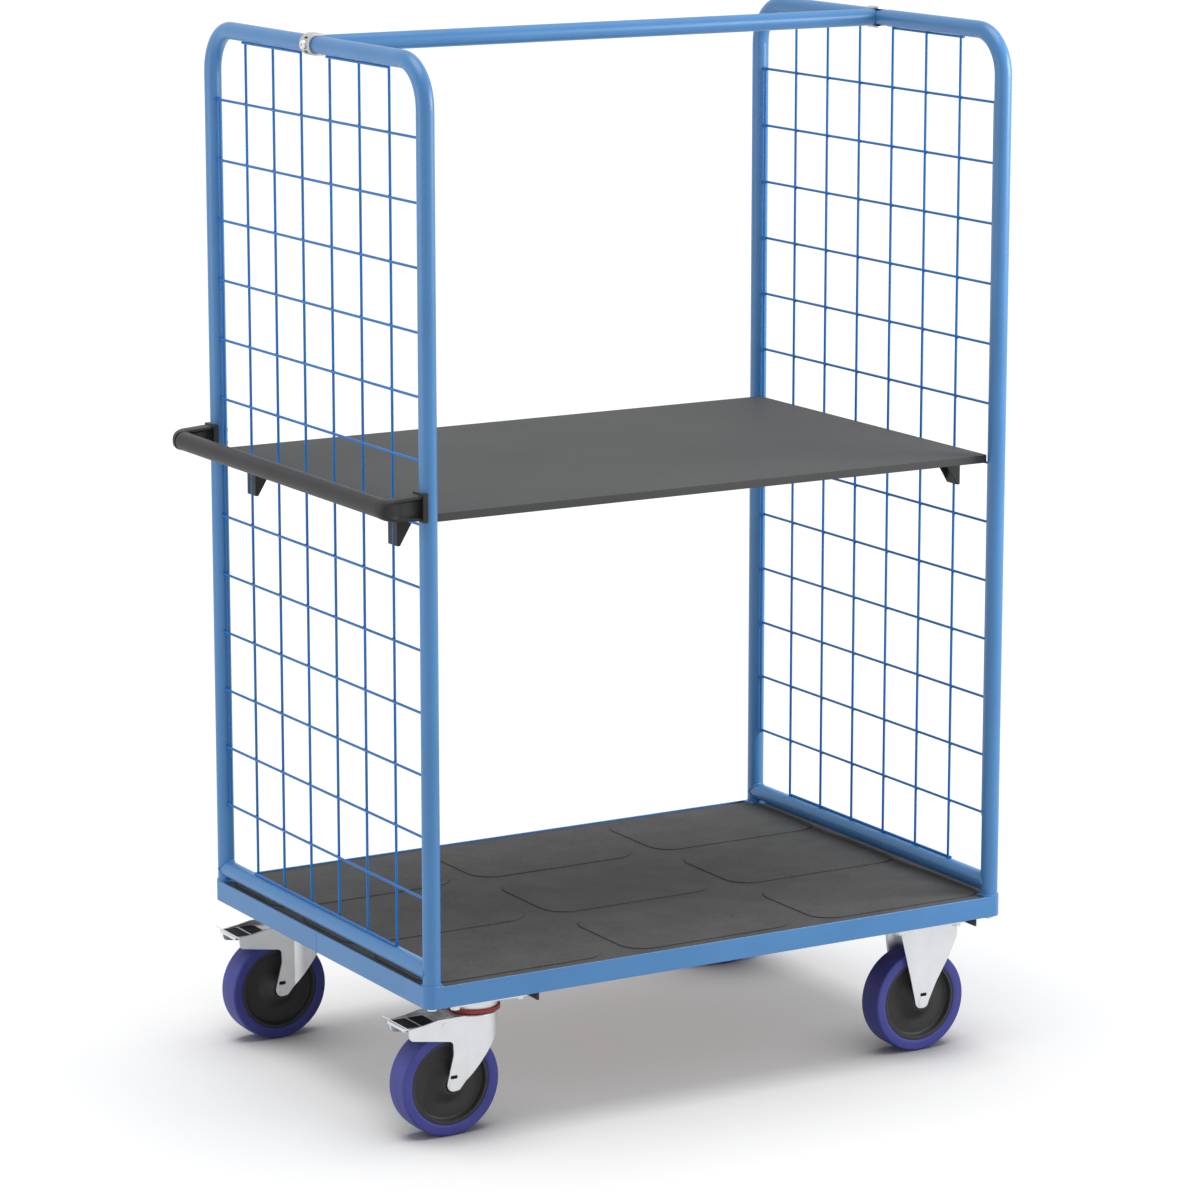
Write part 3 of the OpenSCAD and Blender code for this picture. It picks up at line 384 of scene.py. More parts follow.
# Rounds the edges that turn by more than the angle
def softenEdges(bm, width, angle=32, steps=2, only=None):
    edges = [e for e in bm.edges if len(e.link_faces) == 2 and e.calc_face_angle() > math.radians(angle)]
    if only:
        edges = [e for e in edges if only(e)]
    bmesh.ops.bevel(bm, geom=edges, offset=width * mm, offset_type="OFFSET", segments=steps, profile=0.5,
                    affect="EDGES", clamp_overlap=False, miter_outer="SHARP")


# plates and mouldings that only need their edges broken, width in millimetres
brokenEdges = dict(base_frame=0.6, shelf_board=0.8, left_cross_clip=0.35, right_cross_clip=0.35,
                   left_front_bracket=0.7, left_rear_bracket=0.7, right_front_bracket=0.7,
                   right_rear_bracket=0.7, cross_members=0.5, front_swivel_plate=0.5, rear_swivel_plate=0.5)
# straps end past their half round, over the cross tube: the points at their ends move
strap = dict(reach=dict(left_cross_clip=8, right_cross_clip=-8), endBand=0.025)
for node, width in brokenEdges.items():
    bm = skinOf(node)
    reach = strap["reach"].get(node)
    if reach:
        far = max(v.co.x * reach for v in bm.verts) - strap["endBand"] * abs(reach) * mm
        for v in bm.verts:
            if v.co.x * reach > far:
                v.co.x += reach * mm
    softenEdges(bm, width)
    addPiece(bm, node, finish=strapSteel if reach else None)
print("edges broken:", len(brokenEdges))


# A closed ring of rounded corners from (x, z, radius) corners, in the order given
def roundedOutline(corners, steps=6):
    points = []
    count = len(corners)
    for i, (x, z, radius) in enumerate(corners):
        here = Vector((x, z))
        if not radius:
            points.append(here)
            continue
        back = (Vector(corners[i - 1][:2]) - here).normalized()
        onward = (Vector(corners[(i + 1) % count][:2]) - here).normalized()
        half = math.acos(max(-1, min(1, back.dot(onward)))) / 2
        reach = radius / math.tan(half)
        centre = here + (back + onward).normalized() * radius / math.sin(half)
        start = here + back * reach - centre
        end = here + onward * reach - centre
        sweep = start.angle_signed(end)
        for s in range(steps + 1):
            turn = -sweep * s / steps
            points.append(centre + Vector((start.x * math.cos(turn) - start.y * math.sin(turn),
                                           start.x * math.sin(turn) + start.y * math.cos(turn))))
    return points


# A closed box with rounded corners
def boxOutline(left, low, right, high, radius, steps=6):
    return roundedOutline([(left, low, radius), (right, low, radius), (right, high, radius),
                           (left, high, radius)], steps)


def circlePoints(x, z, radius, steps=24):
    turns = [2 * math.pi * s / steps for s in range(steps)]
    return [Vector((x + radius * math.cos(turn), z + radius * math.sin(turn))) for turn in turns]


# Angles of a quarter turn
def quarterTurn(steps, start=0):
    return [math.radians(start + 90 * s / steps) for s in range(steps + 1)]


# A point as a key to look it up by
def keyOf(co, digits=7):
    return tuple(round(c, digits) for c in co)


# Place the points of a flat outline on a level, or in an upright plane along the trolley
def atLevel(z):
    return lambda p: Vector((p.x, p.y, z)) * mm


def atSide(y):
    return lambda p: Vector((p.x, y, p.y)) * mm


# Fills loops of 3-D points, the first one outside and the rest holes
def fillLoops(bm, loops, normal):
    edges = []
    rings = []
    for loop in loops:
        ring = [bm.verts.new(p) for p in loop]
        rings.append(ring)
        edges += [bm.edges.new((ring[i - 1], ring[i])) for i in range(len(ring))]
    bmesh.ops.triangle_fill(bm, use_beauty=True, use_dissolve=False, edges=edges, normal=normal)
    return rings


# Gives a sheet its thickness: inner(co) says where each point of the outer face lies on the inner one
def thicken(bm, inner):
    outerEdges = [e for e in bm.edges if len(e.link_faces) == 1]
    copied = bmesh.ops.duplicate(bm, geom=bm.verts[:] + bm.edges[:] + bm.faces[:])
    twin = copied["vert_map"]
    for v in [g for g in copied["geom"] if isinstance(g, bmesh.types.BMVert)]:
        v.co = inner(v.co)
    for e in outerEdges:
        a, b = e.verts
        bm.faces.new((a, b, twin[b], twin[a]))
    bmesh.ops.recalc_face_normals(bm, faces=bm.faces)


# Moves a finished part into the mesh of its piece
def joinInto(bm, other):
    part = bpy.data.meshes.new("part")
    other.to_mesh(part)
    other.free()
    bm.from_mesh(part)
    bpy.data.meshes.remove(part)


# A plate from flat loops: toFront and toBack say where their points lie on its two faces
def plateBetween(bm, loops, toFront, toBack):
    sheet = bmesh.new()
    fillLoops(sheet, [[toFront(p) for p in loop] for loop in loops], (0, 0, 1))
    backOf = {keyOf(toFront(p)): toBack(p) for loop in loops for p in loop}
    thicken(sheet, lambda co: backOf[keyOf(co)])
    joinInto(bm, sheet)


# A profile of one half, then back along its mirror image
def mirrored(side):
    return side + [(r, -y) for r, y in reversed(side)]


# The rounded outer edge of a turned form
def turnedEdge(radius, high, bow, steps):
    return [(radius - bow * (1 - math.sin(turn)), high - bow * (1 - math.cos(turn)))
            for turn in quarterTurn(steps)]


# A turned form from (radius, along) points about an axis through centre
def turned(bm, profile, centre, along="y", steps=96):
    rings = []
    for s in range(steps):
        turn = 2 * math.pi * s / steps
        ring = []
        for radius, height in profile:
            across = radius * math.cos(turn) * mm
            up = radius * math.sin(turn) * mm
            rise = height * mm
            offset = dict(x=(rise, across, up), y=(across, rise, up), z=(across, up, rise))
            ring.append(bm.verts.new(Vector(centre) * mm + Vector(offset[along])))
        rings.append(ring)
    count = len(profile)
    for s in range(steps):
        here, after = rings[s - 1], rings[s]
        for i in range(count):
            bm.faces.new((here[i - 1], here[i], after[i], after[i - 1]))
    bmesh.ops.recalc_face_normals(bm, faces=bm.faces)


# caster places in the frame: centre x, axle x
casters = dict(swivel=dict(plateX=-355.5, axleX=-405.5), fixed=dict(plateX=414.5, axleX=414.5))
casterY = dict(front=-277, rear=277)
axleZ = 80


# wheels: tread with a slight crown and a parting line, stepped body with a dish and a filleted boss
wheel = dict(radius=80, halfWidth=22, crown=0.5, crownSteps=4, line=0.2, lineFoot=0.8, lineTop=0.35,
             shoulder=3.5, seat=63, seatIn=1.6, lipStart=66, lipIn=0.4, lipRun=2,
             ringHalf=20, ringOut=62.9, ringIn=57.5, ringFoot=1, ringLip=[(0.5, 0.6), (1.1, 0)], ringEdge=0.8,
             step=16.8, web=11, wallIn=4.5, wallRound=4, boss=16, bossHalf=27, bossEdge=(1.5, 1), bore=12.2,
             dish=20, dishTop=2, dishSteps=12, dishCurve=0.62)


# Both profiles are (radius, along) from the inside out, then mirrored
def tyreProfile(w):
    flat = w["halfWidth"] - w["shoulder"]
    edge = w["radius"] - w["line"] - w["crown"]
    side = [(w["seat"], w["halfWidth"] - w["seatIn"]), (w["lipStart"], w["halfWidth"] - w["lipIn"]),
            (w["lipStart"] + w["lipRun"], w["halfWidth"])]
    side += turnedEdge(edge, w["halfWidth"], w["shoulder"], steps=6)
    for s in range(1, w["crownSteps"]):
        y = flat * (1 - s / w["crownSteps"])
        side.append((edge + w["crown"] * (1 - (y / flat) ** 2), y))
    side += [(w["radius"] - w["line"], w["lineFoot"]), (w["radius"], w["lineTop"])]
    return mirrored(side)


def hubProfile(w):
    edgeIn, edgeDown = w["bossEdge"]
    side = [(w["bore"], w["bossHalf"]), (w["boss"] - edgeIn, w["bossHalf"]),
            (w["boss"], w["bossHalf"] - edgeDown)]
    high = w["bossHalf"] - w["dishTop"] - w["web"]
    for s in range(1, w["dishSteps"] + 1):
        share = s / w["dishSteps"]
        fall = 0.5 + 0.5 * math.cos(math.pi * share ** w["dishCurve"])
        side.append((w["boss"] + w["dish"] * share, w["web"] + high * fall))
    wallFoot = w["ringIn"] - w["wallIn"]
    for turn in quarterTurn(steps=8):
        side.append((wallFoot + w["wallRound"] * math.sin(turn),
                     w["step"] - (w["step"] - w["web"]) * math.cos(turn)))
    side.append((w["ringIn"], w["step"] + w["ringFoot"]))
    side += [(w["ringIn"] + run, w["ringHalf"] - drop) for run, drop in w["ringLip"]]
    side += [(w["ringOut"] - w["ringEdge"], w["ringHalf"]), (w["ringOut"], w["ringHalf"] - w["ringEdge"])]
    return mirrored(side)


for end, y in casterY.items():
    for kind, spots in casters.items():
        centre = (spots["axleX"], y, axleZ)
        for part, profile in (("tyre", tyreProfile(wheel)), ("hub", hubProfile(wheel))):
            bm = bmesh.new()
            turned(bm, profile, centre)
            node = f"{end}_{kind}_{part}"
            addPiece(bm, node, sharp=40)

# dust seal: a plain band with rounded edges
seal = dict(inner=35.1, outer=38.6, low=182.3, high=188.7, round=0.7)


def sealProfile(s):
    points = turnedEdge(s["outer"], s["high"], s["round"], steps=4)
    middle = (s["low"] + s["high"]) / 2
    points += [(r, 2 * middle - z) for r, z in reversed(points)]
    return [(s["inner"], s["low"]), (s["inner"], s["high"])] + points


for end, y in casterY.items():
    bm = bmesh.new()
    turned(bm, sealProfile(seal), (casters["swivel"]["plateX"], y, 0), along="z")
    node = f"{end}_swivel_seal"
    addPiece(bm, node, sharp=50)
print("wheels and seals turned")


# Moves what is drawn about an axle to its caster
def toAxle(bm, x, y):
    bmesh.ops.translate(bm, vec=Vector((x, y, axleZ)) * mm, verts=bm.verts)


# swivel fork: one sheet, flat cheeks that fold into a round nose under the crown; x and z from the axle
swivelFork = dict(trail=50, cheek=31, sheet=3.5, top=101.5, fold=20, foldGap=0.3, merge=0.01,
                  noseBack=5.508, noseR=39.508, noseSteps=30, outlineSteps=14,
                  tail=[(-25, 101.5, 30), (-47, 97.2, 60), (-73, 94, 1.5), (-71.8, 76.4, 8), (-1.2, 65.2, 7),
                        (-0.2, 45, 30)],
                  tip=[(-14.5, -11.2, 10.8), (9.2, -8.8, 6)],
                  lowEdge=[(9.2, -8.8, 0), (20, 3.8, 120), (44.4, 36.4, 120), (84, 84, 0)],
                  axleHole=6.1, pin=(-14, 90, 4.1), slot=(-5.5, 9.3, 11, 5), slotCorner=1,
                  crown=5, crownRear=2, crownInset=2.4, crownSunk=0.05, crownSteps=20,
                  raceR=31, raceTop=183, raceSunk=1, boreR=6.05,
                  edge=0.6, shoulder=2.4, shoulderFrom=-20, outerBand=0.5)


def lowEdgeAt(path, x):
    for a, b in zip(path, path[1:]):
        if a.x <= x <= b.x:
            return a.y + (b.y - a.y) * (x - a.x) / (b.x - a.x)
    return path[-1].y if x > path[-1].x else path[0].y


# The slot above the axle: left, low, length and height
def slotOutline(f):
    left, low, length, high = f["slot"]
    return boxOutline(left, low, left + length, low + high, f["slotCorner"], steps=3)


def swivelForkMesh(f, axleX, y):
    bm = bmesh.new()
    path = roundedOutline(f["lowEdge"])
    lowPath = [(p.x, p.y, 0) for p in path[1:] if p.x < f["fold"] - f["foldGap"]]
    foldEnd = (f["fold"], lowEdgeAt(path, f["fold"]), 0)
    corners = [(f["fold"], f["top"], 0)] + f["tail"] + f["tip"] + lowPath + [foldEnd]
    loops = [roundedOutline(corners, f["outlineSteps"]), circlePoints(0, 0, f["axleHole"]),
             circlePoints(*f["pin"]), slotOutline(f)]
    swivelX = f["trail"]
    centreX = swivelX - f["noseBack"]
    foldTurn = math.acos((f["fold"] - centreX) / f["noseR"])
    innerR = f["noseR"] - f["sheet"]
    innerCheek = f["cheek"] - f["sheet"]
    innerFold = centreX - math.sqrt(innerR ** 2 - innerCheek ** 2)
    for side in (-1, 1):
        flat = [[Vector((p.x, side * f["cheek"], p.y)) for p in loop] for loop in loops]
        rings = fillLoops(bm, flat, (0, side, 0))
        last = [v for v in rings[0] if abs(v.co.x - f["fold"]) < touching]
        last.sort(key=lambda v: v.co.z)
        for s in range(1, f["noseSteps"] + 1):
            turn = foldTurn * (1 - s / f["noseSteps"])
            x = centreX + f["noseR"] * math.cos(turn)
            out = side * f["noseR"] * math.sin(turn)
            low = bm.verts.new((x, out, lowEdgeAt(path, x)))
            high = bm.verts.new((x, out, f["top"]))
            bm.faces.new((last[0], low, high, last[1]))
            last = [low, high]
    bmesh.ops.remove_doubles(bm, verts=bm.verts, dist=f["merge"])
    bmesh.ops.recalc_face_normals(bm, faces=bm.faces)

    def inward(co):
        if abs(co.x - f["fold"]) < touching and abs(abs(co.y) - f["cheek"]) < touching:
            return Vector((innerFold, math.copysign(innerCheek, co.y), co.z))
        if co.x <= f["fold"]:
            return Vector((co.x, math.copysign(innerCheek, co.y), co.z))
        return Vector((centreX + (co.x - centreX) * innerR / f["noseR"], co.y * innerR / f["noseR"], co.z))

    thicken(bm, inward)
    bmesh.ops.scale(bm, vec=(mm, mm, mm), verts=bm.verts)
    topZ = f["top"] * mm

    def onShoulder(e):
        middle = (e.verts[0].co + e.verts[1].co) / 2
        flatTop = all(abs(v.co.z - topZ) < touching * mm and v.co.x > f["shoulderFrom"] * mm for v in e.verts)
        onCheek = middle.x <= f["fold"] * mm and abs(middle.y) > (f["cheek"] - f["outerBand"]) * mm
        gone = Vector((middle.x - centreX * mm, middle.y)).length
        onNose = middle.x > f["fold"] * mm and gone > (f["noseR"] - f["outerBand"]) * mm
        return flatTop and (onCheek or onNose)

    softenEdges(bm, f["shoulder"], angle=60, steps=4, only=onShoulder)
    softenEdges(bm, f["edge"], angle=50)
    # crown plate inside the walls, with the lower ball race on it
    plan = []
    crownR = f["noseR"] - f["crownInset"]
    crownHalf = f["cheek"] - f["crownInset"]
    for s in range(2 * f["crownSteps"] + 1):
        turn = foldTurn * (1 - s / f["crownSteps"])
        plan.append(Vector((centreX + crownR * math.cos(turn), crownR * math.sin(turn))))
    plan += [Vector((f["crownRear"], -crownHalf)), Vector((f["crownRear"], crownHalf))]
    bore = circlePoints(swivelX, 0, f["boreR"])
    plateBetween(bm, [plan, bore], atLevel(f["top"] - f["crownSunk"]), atLevel(f["top"] - f["crown"]))
    race = circlePoints(swivelX, 0, f["raceR"], steps=48)
    plateBetween(bm, [race, bore], atLevel(f["raceTop"] - axleZ), atLevel(f["top"] - f["raceSunk"]))
    toAxle(bm, axleX, y)
    return bm


for end, y in casterY.items():
    node = f"{end}_swivel_fork"
    addPiece(swivelForkMesh(swivelFork, casters["swivel"]["axleX"], y), node, sharp=34)

# fixed fork: bolted plate, cheeks whose rear part is bent inwards; x and z from the axle
fixedFork = dict(cheek=31, sheet=3.5, bend=-12, bendR=40, bendSpan=42, bendSteps=10, cutSnap=1e-5,
                 outlineSteps=14,
                 front=[(61, 124, 0), (61.5, 98, 30), (46, 66, 60), (24, 30, 60), (5.2, -9.5, 9)],
                 tip=[(-12.2, -9.5, 10.5)], rear=[(-25, 48, 0), (-35, 93, 0), (-42, 124, 0)],
                 axleHole=6.1, slot=(-5.5, 9.3, 11, 5), slotCorner=1, edge=0.6,
                 plate=(133, 110, 9, 204, 209), boltSpan=(105, 80), boltHole=4.5)


def fixedForkMesh(f, plateX, y):
    bm = bmesh.new()
    outline = roundedOutline(f["front"] + f["tip"] + f["rear"], f["outlineSteps"])
    loops = [outline, circlePoints(0, 0, f["axleHole"]), slotOutline(f)]
    for side in (-1, 1):
        flat = [[Vector((p.x, side * f["cheek"], p.y)) for p in loop] for loop in loops]
        fillLoops(bm, flat, (0, side, 0))
    for s in range(f["bendSteps"] + 1):
        cut = f["bend"] - f["bendSpan"] * s / f["bendSteps"]
        bmesh.ops.bisect_plane(bm, geom=bm.verts[:] + bm.edges[:] + bm.faces[:], dist=f["cutSnap"],
                               plane_co=(cut, 0, 0), plane_no=(1, 0, 0))
    bmesh.ops.recalc_face_normals(bm, faces=bm.faces)

    def bent(co, cheek, radius):
        if co.x >= f["bend"]:
            return Vector((co.x, math.copysign(cheek, co.y), co.z))
        turn = (f["bend"] - co.x) / f["bendR"]
        depth = radius * (1 - math.cos(turn))
        return Vector((f["bend"] - radius * math.sin(turn), math.copysign(cheek - depth, co.y), co.z))

    unbent = {}
    for v in bm.verts:
        start = v.co.copy()
        v.co = bent(start, f["cheek"], f["bendR"])
        unbent[keyOf(v.co, digits=5)] = start
    innerCheek = f["cheek"] - f["sheet"]
    innerR = f["bendR"] - f["sheet"]
    thicken(bm, lambda co: bent(unbent[keyOf(co, digits=5)], innerCheek, innerR))
    bmesh.ops.scale(bm, vec=(mm, mm, mm), verts=bm.verts)
    softenEdges(bm, f["edge"], angle=50)
    length, width, corner, low, high = f["plate"]
    plan = boxOutline(-length / 2, -width / 2, length / 2, width / 2, corner)
    bores = [circlePoints(i * f["boltSpan"][0] / 2, j * f["boltSpan"][1] / 2, f["boltHole"], steps=16)
             for i in (-1, 1) for j in (-1, 1)]
    slab = bmesh.new()
    plateBetween(slab, [plan] + bores, atLevel(high - axleZ), atLevel(low - axleZ))
    softenEdges(slab, f["edge"], angle=50)
    joinInto(bm, slab)
    toAxle(bm, plateX, y)
    return bm


for end, y in casterY.items():
    node = f"{end}_fixed_fork"
    addPiece(fixedForkMesh(fixedFork, casters["fixed"]["plateX"], y), node, sharp=34)
print("forks folded")


# brake pedal: pressed frame with two windows, side flanges on the pin, shoe, and a thin lip over a short one
pedal = dict(rear=-78, front=-5, half=27, top=95, sheet=3, corner=3, rearLap=1, sunk=1,
             windows=[(-76, -50), (-47.5, -22)], windowHalf=25.3, windowCorner=2.5,
             flange=13, flangeCorners=(4, 8), pin=(-14, 90, 4.05),
             shoeX=-40, shoeL=14, shoeHalf=13.5, shoeLow=76.9, shoeCorner=1.5,
             lips=[([(-83, 95.2, 0.9), (-83, 98, 0.9), (-77.5, 98, 0.6), (-77.5, 95.2, 0.6)], 42),
                   ([(-82.4, 89, 0.6), (-82.4, 91.2, 0.6), (-80.2, 91.2, 0), (-80.2, 95.4, 0),
                     (-77.5, 95.4, 0), (-77.5, 89, 0.6)], 27)],
             edge=0.5, padTop=94.2, padLow=92.6, padLap=0.6, padCorner=3)


def pedalMesh(p, axleX, y):
    bm = bmesh.new()
    under = p["top"] - p["sunk"]
    loops = [boxOutline(p["rear"] - p["rearLap"], -p["half"], p["front"], p["half"], p["corner"], steps=4)]
    for a, b in p["windows"]:
        loops.append(boxOutline(a, -p["windowHalf"], b, p["windowHalf"], p["windowCorner"], steps=4))
    plateBetween(bm, loops, atLevel(p["top"]), atLevel(p["top"] - p["sheet"]))
    foot = p["top"] - p["flange"]
    flange = roundedOutline([(p["front"], under, 0), (p["front"], foot, p["flangeCorners"][0]),
                             (p["shoeX"], foot, p["flangeCorners"][1]),
                             (p["rear"], p["top"] - p["sheet"], 0), (p["rear"], under, 0)], steps=5)
    for side in (-1, 1):
        plateBetween(bm, [flange, circlePoints(*p["pin"])], atSide(side * p["half"]),
                     atSide(side * (p["half"] - p["sheet"])))
    left = p["shoeX"] - p["shoeL"] / 2
    right = p["shoeX"] + p["shoeL"] / 2
    shoe = roundedOutline([(left, under, 0), (right, under, 0), (right, p["shoeLow"], p["shoeCorner"]),
                           (left, p["shoeLow"], p["shoeCorner"])], steps=4)
    plateBetween(bm, [shoe], atSide(-p["shoeHalf"]), atSide(p["shoeHalf"]))
    for outline, half in p["lips"]:
        plateBetween(bm, [roundedOutline(outline, steps=3)], atSide(-half), atSide(half))
    softenEdges(bm, p["edge"], angle=50)
    toAxle(bm, axleX, y)
    return bm


for end, y in casterY.items():
    node = f"{end}_brake_pedal"
    addPiece(pedalMesh(pedal, casters["swivel"]["axleX"], y), node, sharp=34)
    # near-black sheets under the pedal windows: painted shade where one looks through them
    bm = bmesh.new()
    lap = pedal["padLap"]
    half = pedal["windowHalf"] + lap
    for a, b in pedal["windows"]:
        shadeSheet = boxOutline(a - lap, -half, b + lap, half, pedal["padCorner"], steps=4)
        plateBetween(bm, [shadeSheet], atLevel(pedal["padTop"]), atLevel(pedal["padLow"]))
    toAxle(bm, casters["swivel"]["axleX"], y)
    addPiece(bm, node, finish=shadeBlack, slot="black_plastic", name=end + "PedalPads")
print("pedals pressed")


# handle arms: a tapered channel whose hollow sides fade into a round elbow; x and y from the post
arm = dict(post=(-455.5, -335, 941), pivot=(-50.5, 10), root=-14, rootHalf=18.5, elbowHalf=15.8, width=25,
           elbowWidth=22.5, capR=14.45, capRound=0.985, corner=2.6, flange=4, ease=3, square=2.5,
           hollow=6, elbowHollow=0.5, sideSteps=19, runSteps=14, elbowSteps=20, hollowSteps=12,
           saddle=[(-21, -16, 1.2), (-8, -16, 1.2), (-8, -10.4, 0)], saddleHalf=20.5, saddleSteps=8,
           tubeR=13.12, edge=0.7)


# A share from 0 to 1 that starts and ends slowly
def eased(share):
    share = max(0.0, min(1.0, share))
    return share * share * (3 - 2 * share)


# One ring of the channel: (across, up) with across counted from the inner side
def armRing(a, width, high, corner, hollow):
    def bow(across, up, start):
        return [(across + corner * math.cos(turn), up + corner * math.sin(turn))
                for turn in quarterTurn(6, start)]

    low, top = corner - high, high - corner
    rise = [low + (top - low) * s / a["sideSteps"] for s in range(1, a["sideSteps"])]
    dip = {z: hollow * eased((high - a["flange"] - abs(z)) / a["ease"]) for z in rise}
    outer = [(width - dip[z], z) for z in rise]
    inner = [(dip[z], z) for z in reversed(rise)]
    return (bow(corner, low, 180) + bow(width - corner, low, 270) + outer
            + bow(width - corner, top, 0) + bow(corner, top, 90) + inner)


def armMesh(a, side):
    bm = bmesh.new()
    pivotX, pivotY = a["pivot"]
    rings = []
    for s in range(a["runSteps"] + 1):
        share = s / a["runSteps"]
        x = a["root"] + (pivotX - a["root"]) * share
        width = a["width"] + (a["elbowWidth"] - a["width"]) * share
        high = a["rootHalf"] + (a["elbowHalf"] - a["rootHalf"]) * share
        inner = pivotY + width - a["elbowWidth"]
        hollow = a["hollow"] * (1 - (1 - a["elbowHollow"]) * eased(share))
        ring = armRing(a, width, high, a["corner"], hollow)
        rings.append([(x, inner - across, up) for across, up in ring])
    turns = quarterTurn(a["elbowSteps"])
    for s in range(1, a["elbowSteps"] + 1):
        turn = turns[s]
        share = eased(s / a["elbowSteps"])
        span = ((math.cos(turn) / a["elbowWidth"]) ** a["square"]
                + (math.sin(turn) / (2 * a["capR"])) ** a["square"])
        high = a["elbowHalf"] + (a["capR"] - a["elbowHalf"]) * share
        corner = a["corner"] + (a["capRound"] * a["capR"] - a["corner"]) * share
        hollow = a["elbowHollow"] * a["hollow"] * (1 - eased(s / a["hollowSteps"]))
        ring = armRing(a, span ** (-1 / a["square"]), high, corner, hollow)
        rings.append([(pivotX - across * math.sin(turn), pivotY - across * math.cos(turn), up)
                      for across, up in ring])
    made = [[bm.verts.new(Vector(p) * mm) for p in ring] for ring in rings]
    for here, after in zip(made, made[1:]):
        for i in range(len(here)):
            bm.faces.new((here[i - 1], here[i], after[i], after[i - 1]))
    bm.faces.new(made[0])
    bm.faces.new(made[-1])
    # saddle: a block cut out to the round of the post
    reach = math.asin(a["saddle"][-1][1] / a["tubeR"])
    plan = roundedOutline(a["saddle"], steps=4)
    for s in range(1, a["saddleSteps"]):
        turn = reach * (1 - s / a["saddleSteps"])
        plan.append(Vector((-math.cos(turn), math.sin(turn))) * a["tubeR"])
    plan += [Vector((p.x, -p.y)) for p in reversed(plan)]
    block = bmesh.new()
    plateBetween(block, [plan], atLevel(a["saddleHalf"]), atLevel(-a["saddleHalf"]))
    softenEdges(block, a["edge"], angle=60)
    joinInto(bm, block)
    for v in bm.verts:
        v.co = Vector(a["post"]) * mm + v.co
        v.co.y *= side
    bmesh.ops.recalc_face_normals(bm, faces=bm.faces)
    return bm


for end, side in (("front", 1), ("rear", -1)):
    node = end + "_handle_arm"
    addPiece(armMesh(arm, side), node, sharp=40)

# bolts through post and arm: low domes, painted over with the post
armBolt = dict(headX=-442.6, pitch=20, profile=[(0.02, 0.9), (2.4, 0.75), (4.2, 0.3), (5, -0.5), (3, -0.5),
                                                (3, -39), (0.02, -39)])
bm = bmesh.new()
for side in (-1, 1):
    for level in (-0.5, 0.5):
        spot = (armBolt["headX"], side * arm["post"][1], arm["post"][2] + level * armBolt["pitch"])
        turned(bm, armBolt["profile"], spot, along="x", steps=24)
addPiece(bm, "handle_bolts", sharp=50, finish=powderCoat)

# push bar: tube with rounded ends
grip = dict(x=-520.5, z=941, half=324.4, radius=14, wall=2, round=2.4)
tube = [(grip["radius"] - grip["wall"], grip["half"])]
tube += turnedEdge(grip["radius"], grip["half"], grip["round"], steps=3)
bm = bmesh.new()
turned(bm, mirrored(tube), (grip["x"], 0, grip["z"]), steps=64)
addPiece(bm, "handle_bar", sharp=50)
print("handle moulded")


# Geometry Nodes: one group per thing that repeats
def newGroup(name, sizes):
    group = bpy.data.node_groups.new(name, "GeometryNodeTree")
    group.interface.new_socket("Geometry", in_out="OUTPUT", socket_type="NodeSocketGeometry")
    kinds = {int: "NodeSocketInt", float: "NodeSocketFloat", tuple: "NodeSocketVector"}
    for size, value in sizes.items():
        kind = kinds.get(type(value), "NodeSocketMaterial")
        group.interface.new_socket(size, in_out="INPUT", socket_type=kind)
    return group, addNode(group, "NodeGroupInput").outputs


def closeGroup(group, parts, finish):
    joined = addNode(group, "GeometryNodeJoinGeometry")
    for part in reversed(parts):
        group.links.new(part, joined.inputs[0])
    real = addNode(group, "GeometryNodeRealizeInstances", Geometry=joined.outputs[0])
    coated = addNode(group, "GeometryNodeSetMaterial", Geometry=real.outputs[0], Material=finish)
    addNode(group, "NodeGroupOutput", Geometry=coated.outputs[0])


# Runs a group on a new object and keeps the result as a plain mesh
def grow(name, group, sizes, body, replaced=(), sharp=40):
    piece = bpy.data.objects.new(name, bpy.data.meshes.new(name))
    scene.collection.objects.link(piece)
    modifier = piece.modifiers.new(name, "NODES")
    modifier.node_group = group
    for item in group.interface.items_tree:
        if item.item_type == "SOCKET" and item.in_out == "INPUT":
            modifier[item.identifier] = sizes[item.name]
    settle(piece)
    piece.data.shade_smooth()
    piece.data.set_sharp_from_angle(angle=math.radians(sharp))
    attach(piece, body)
    if replaced:
        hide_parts(*replaced)


# mesh walls: uprights on the inner side, cross wires on the outer, a weld nugget at each crossing
wall = dict(wire=2.0, wireSides=14, offset=1.8, firstCol=-317.1, colPitch=90.6, firstRow=277.6,
            rowPitch=90.5571, cols=7, rows=14, overhang=3, sideEnd=322.4,
            nugget=(1.5, 3.1, 3.1), nuggetSides=8, nuggetRings=5)
wallPlane = dict(left=(-455.5, 1), right=(514.5, -1))


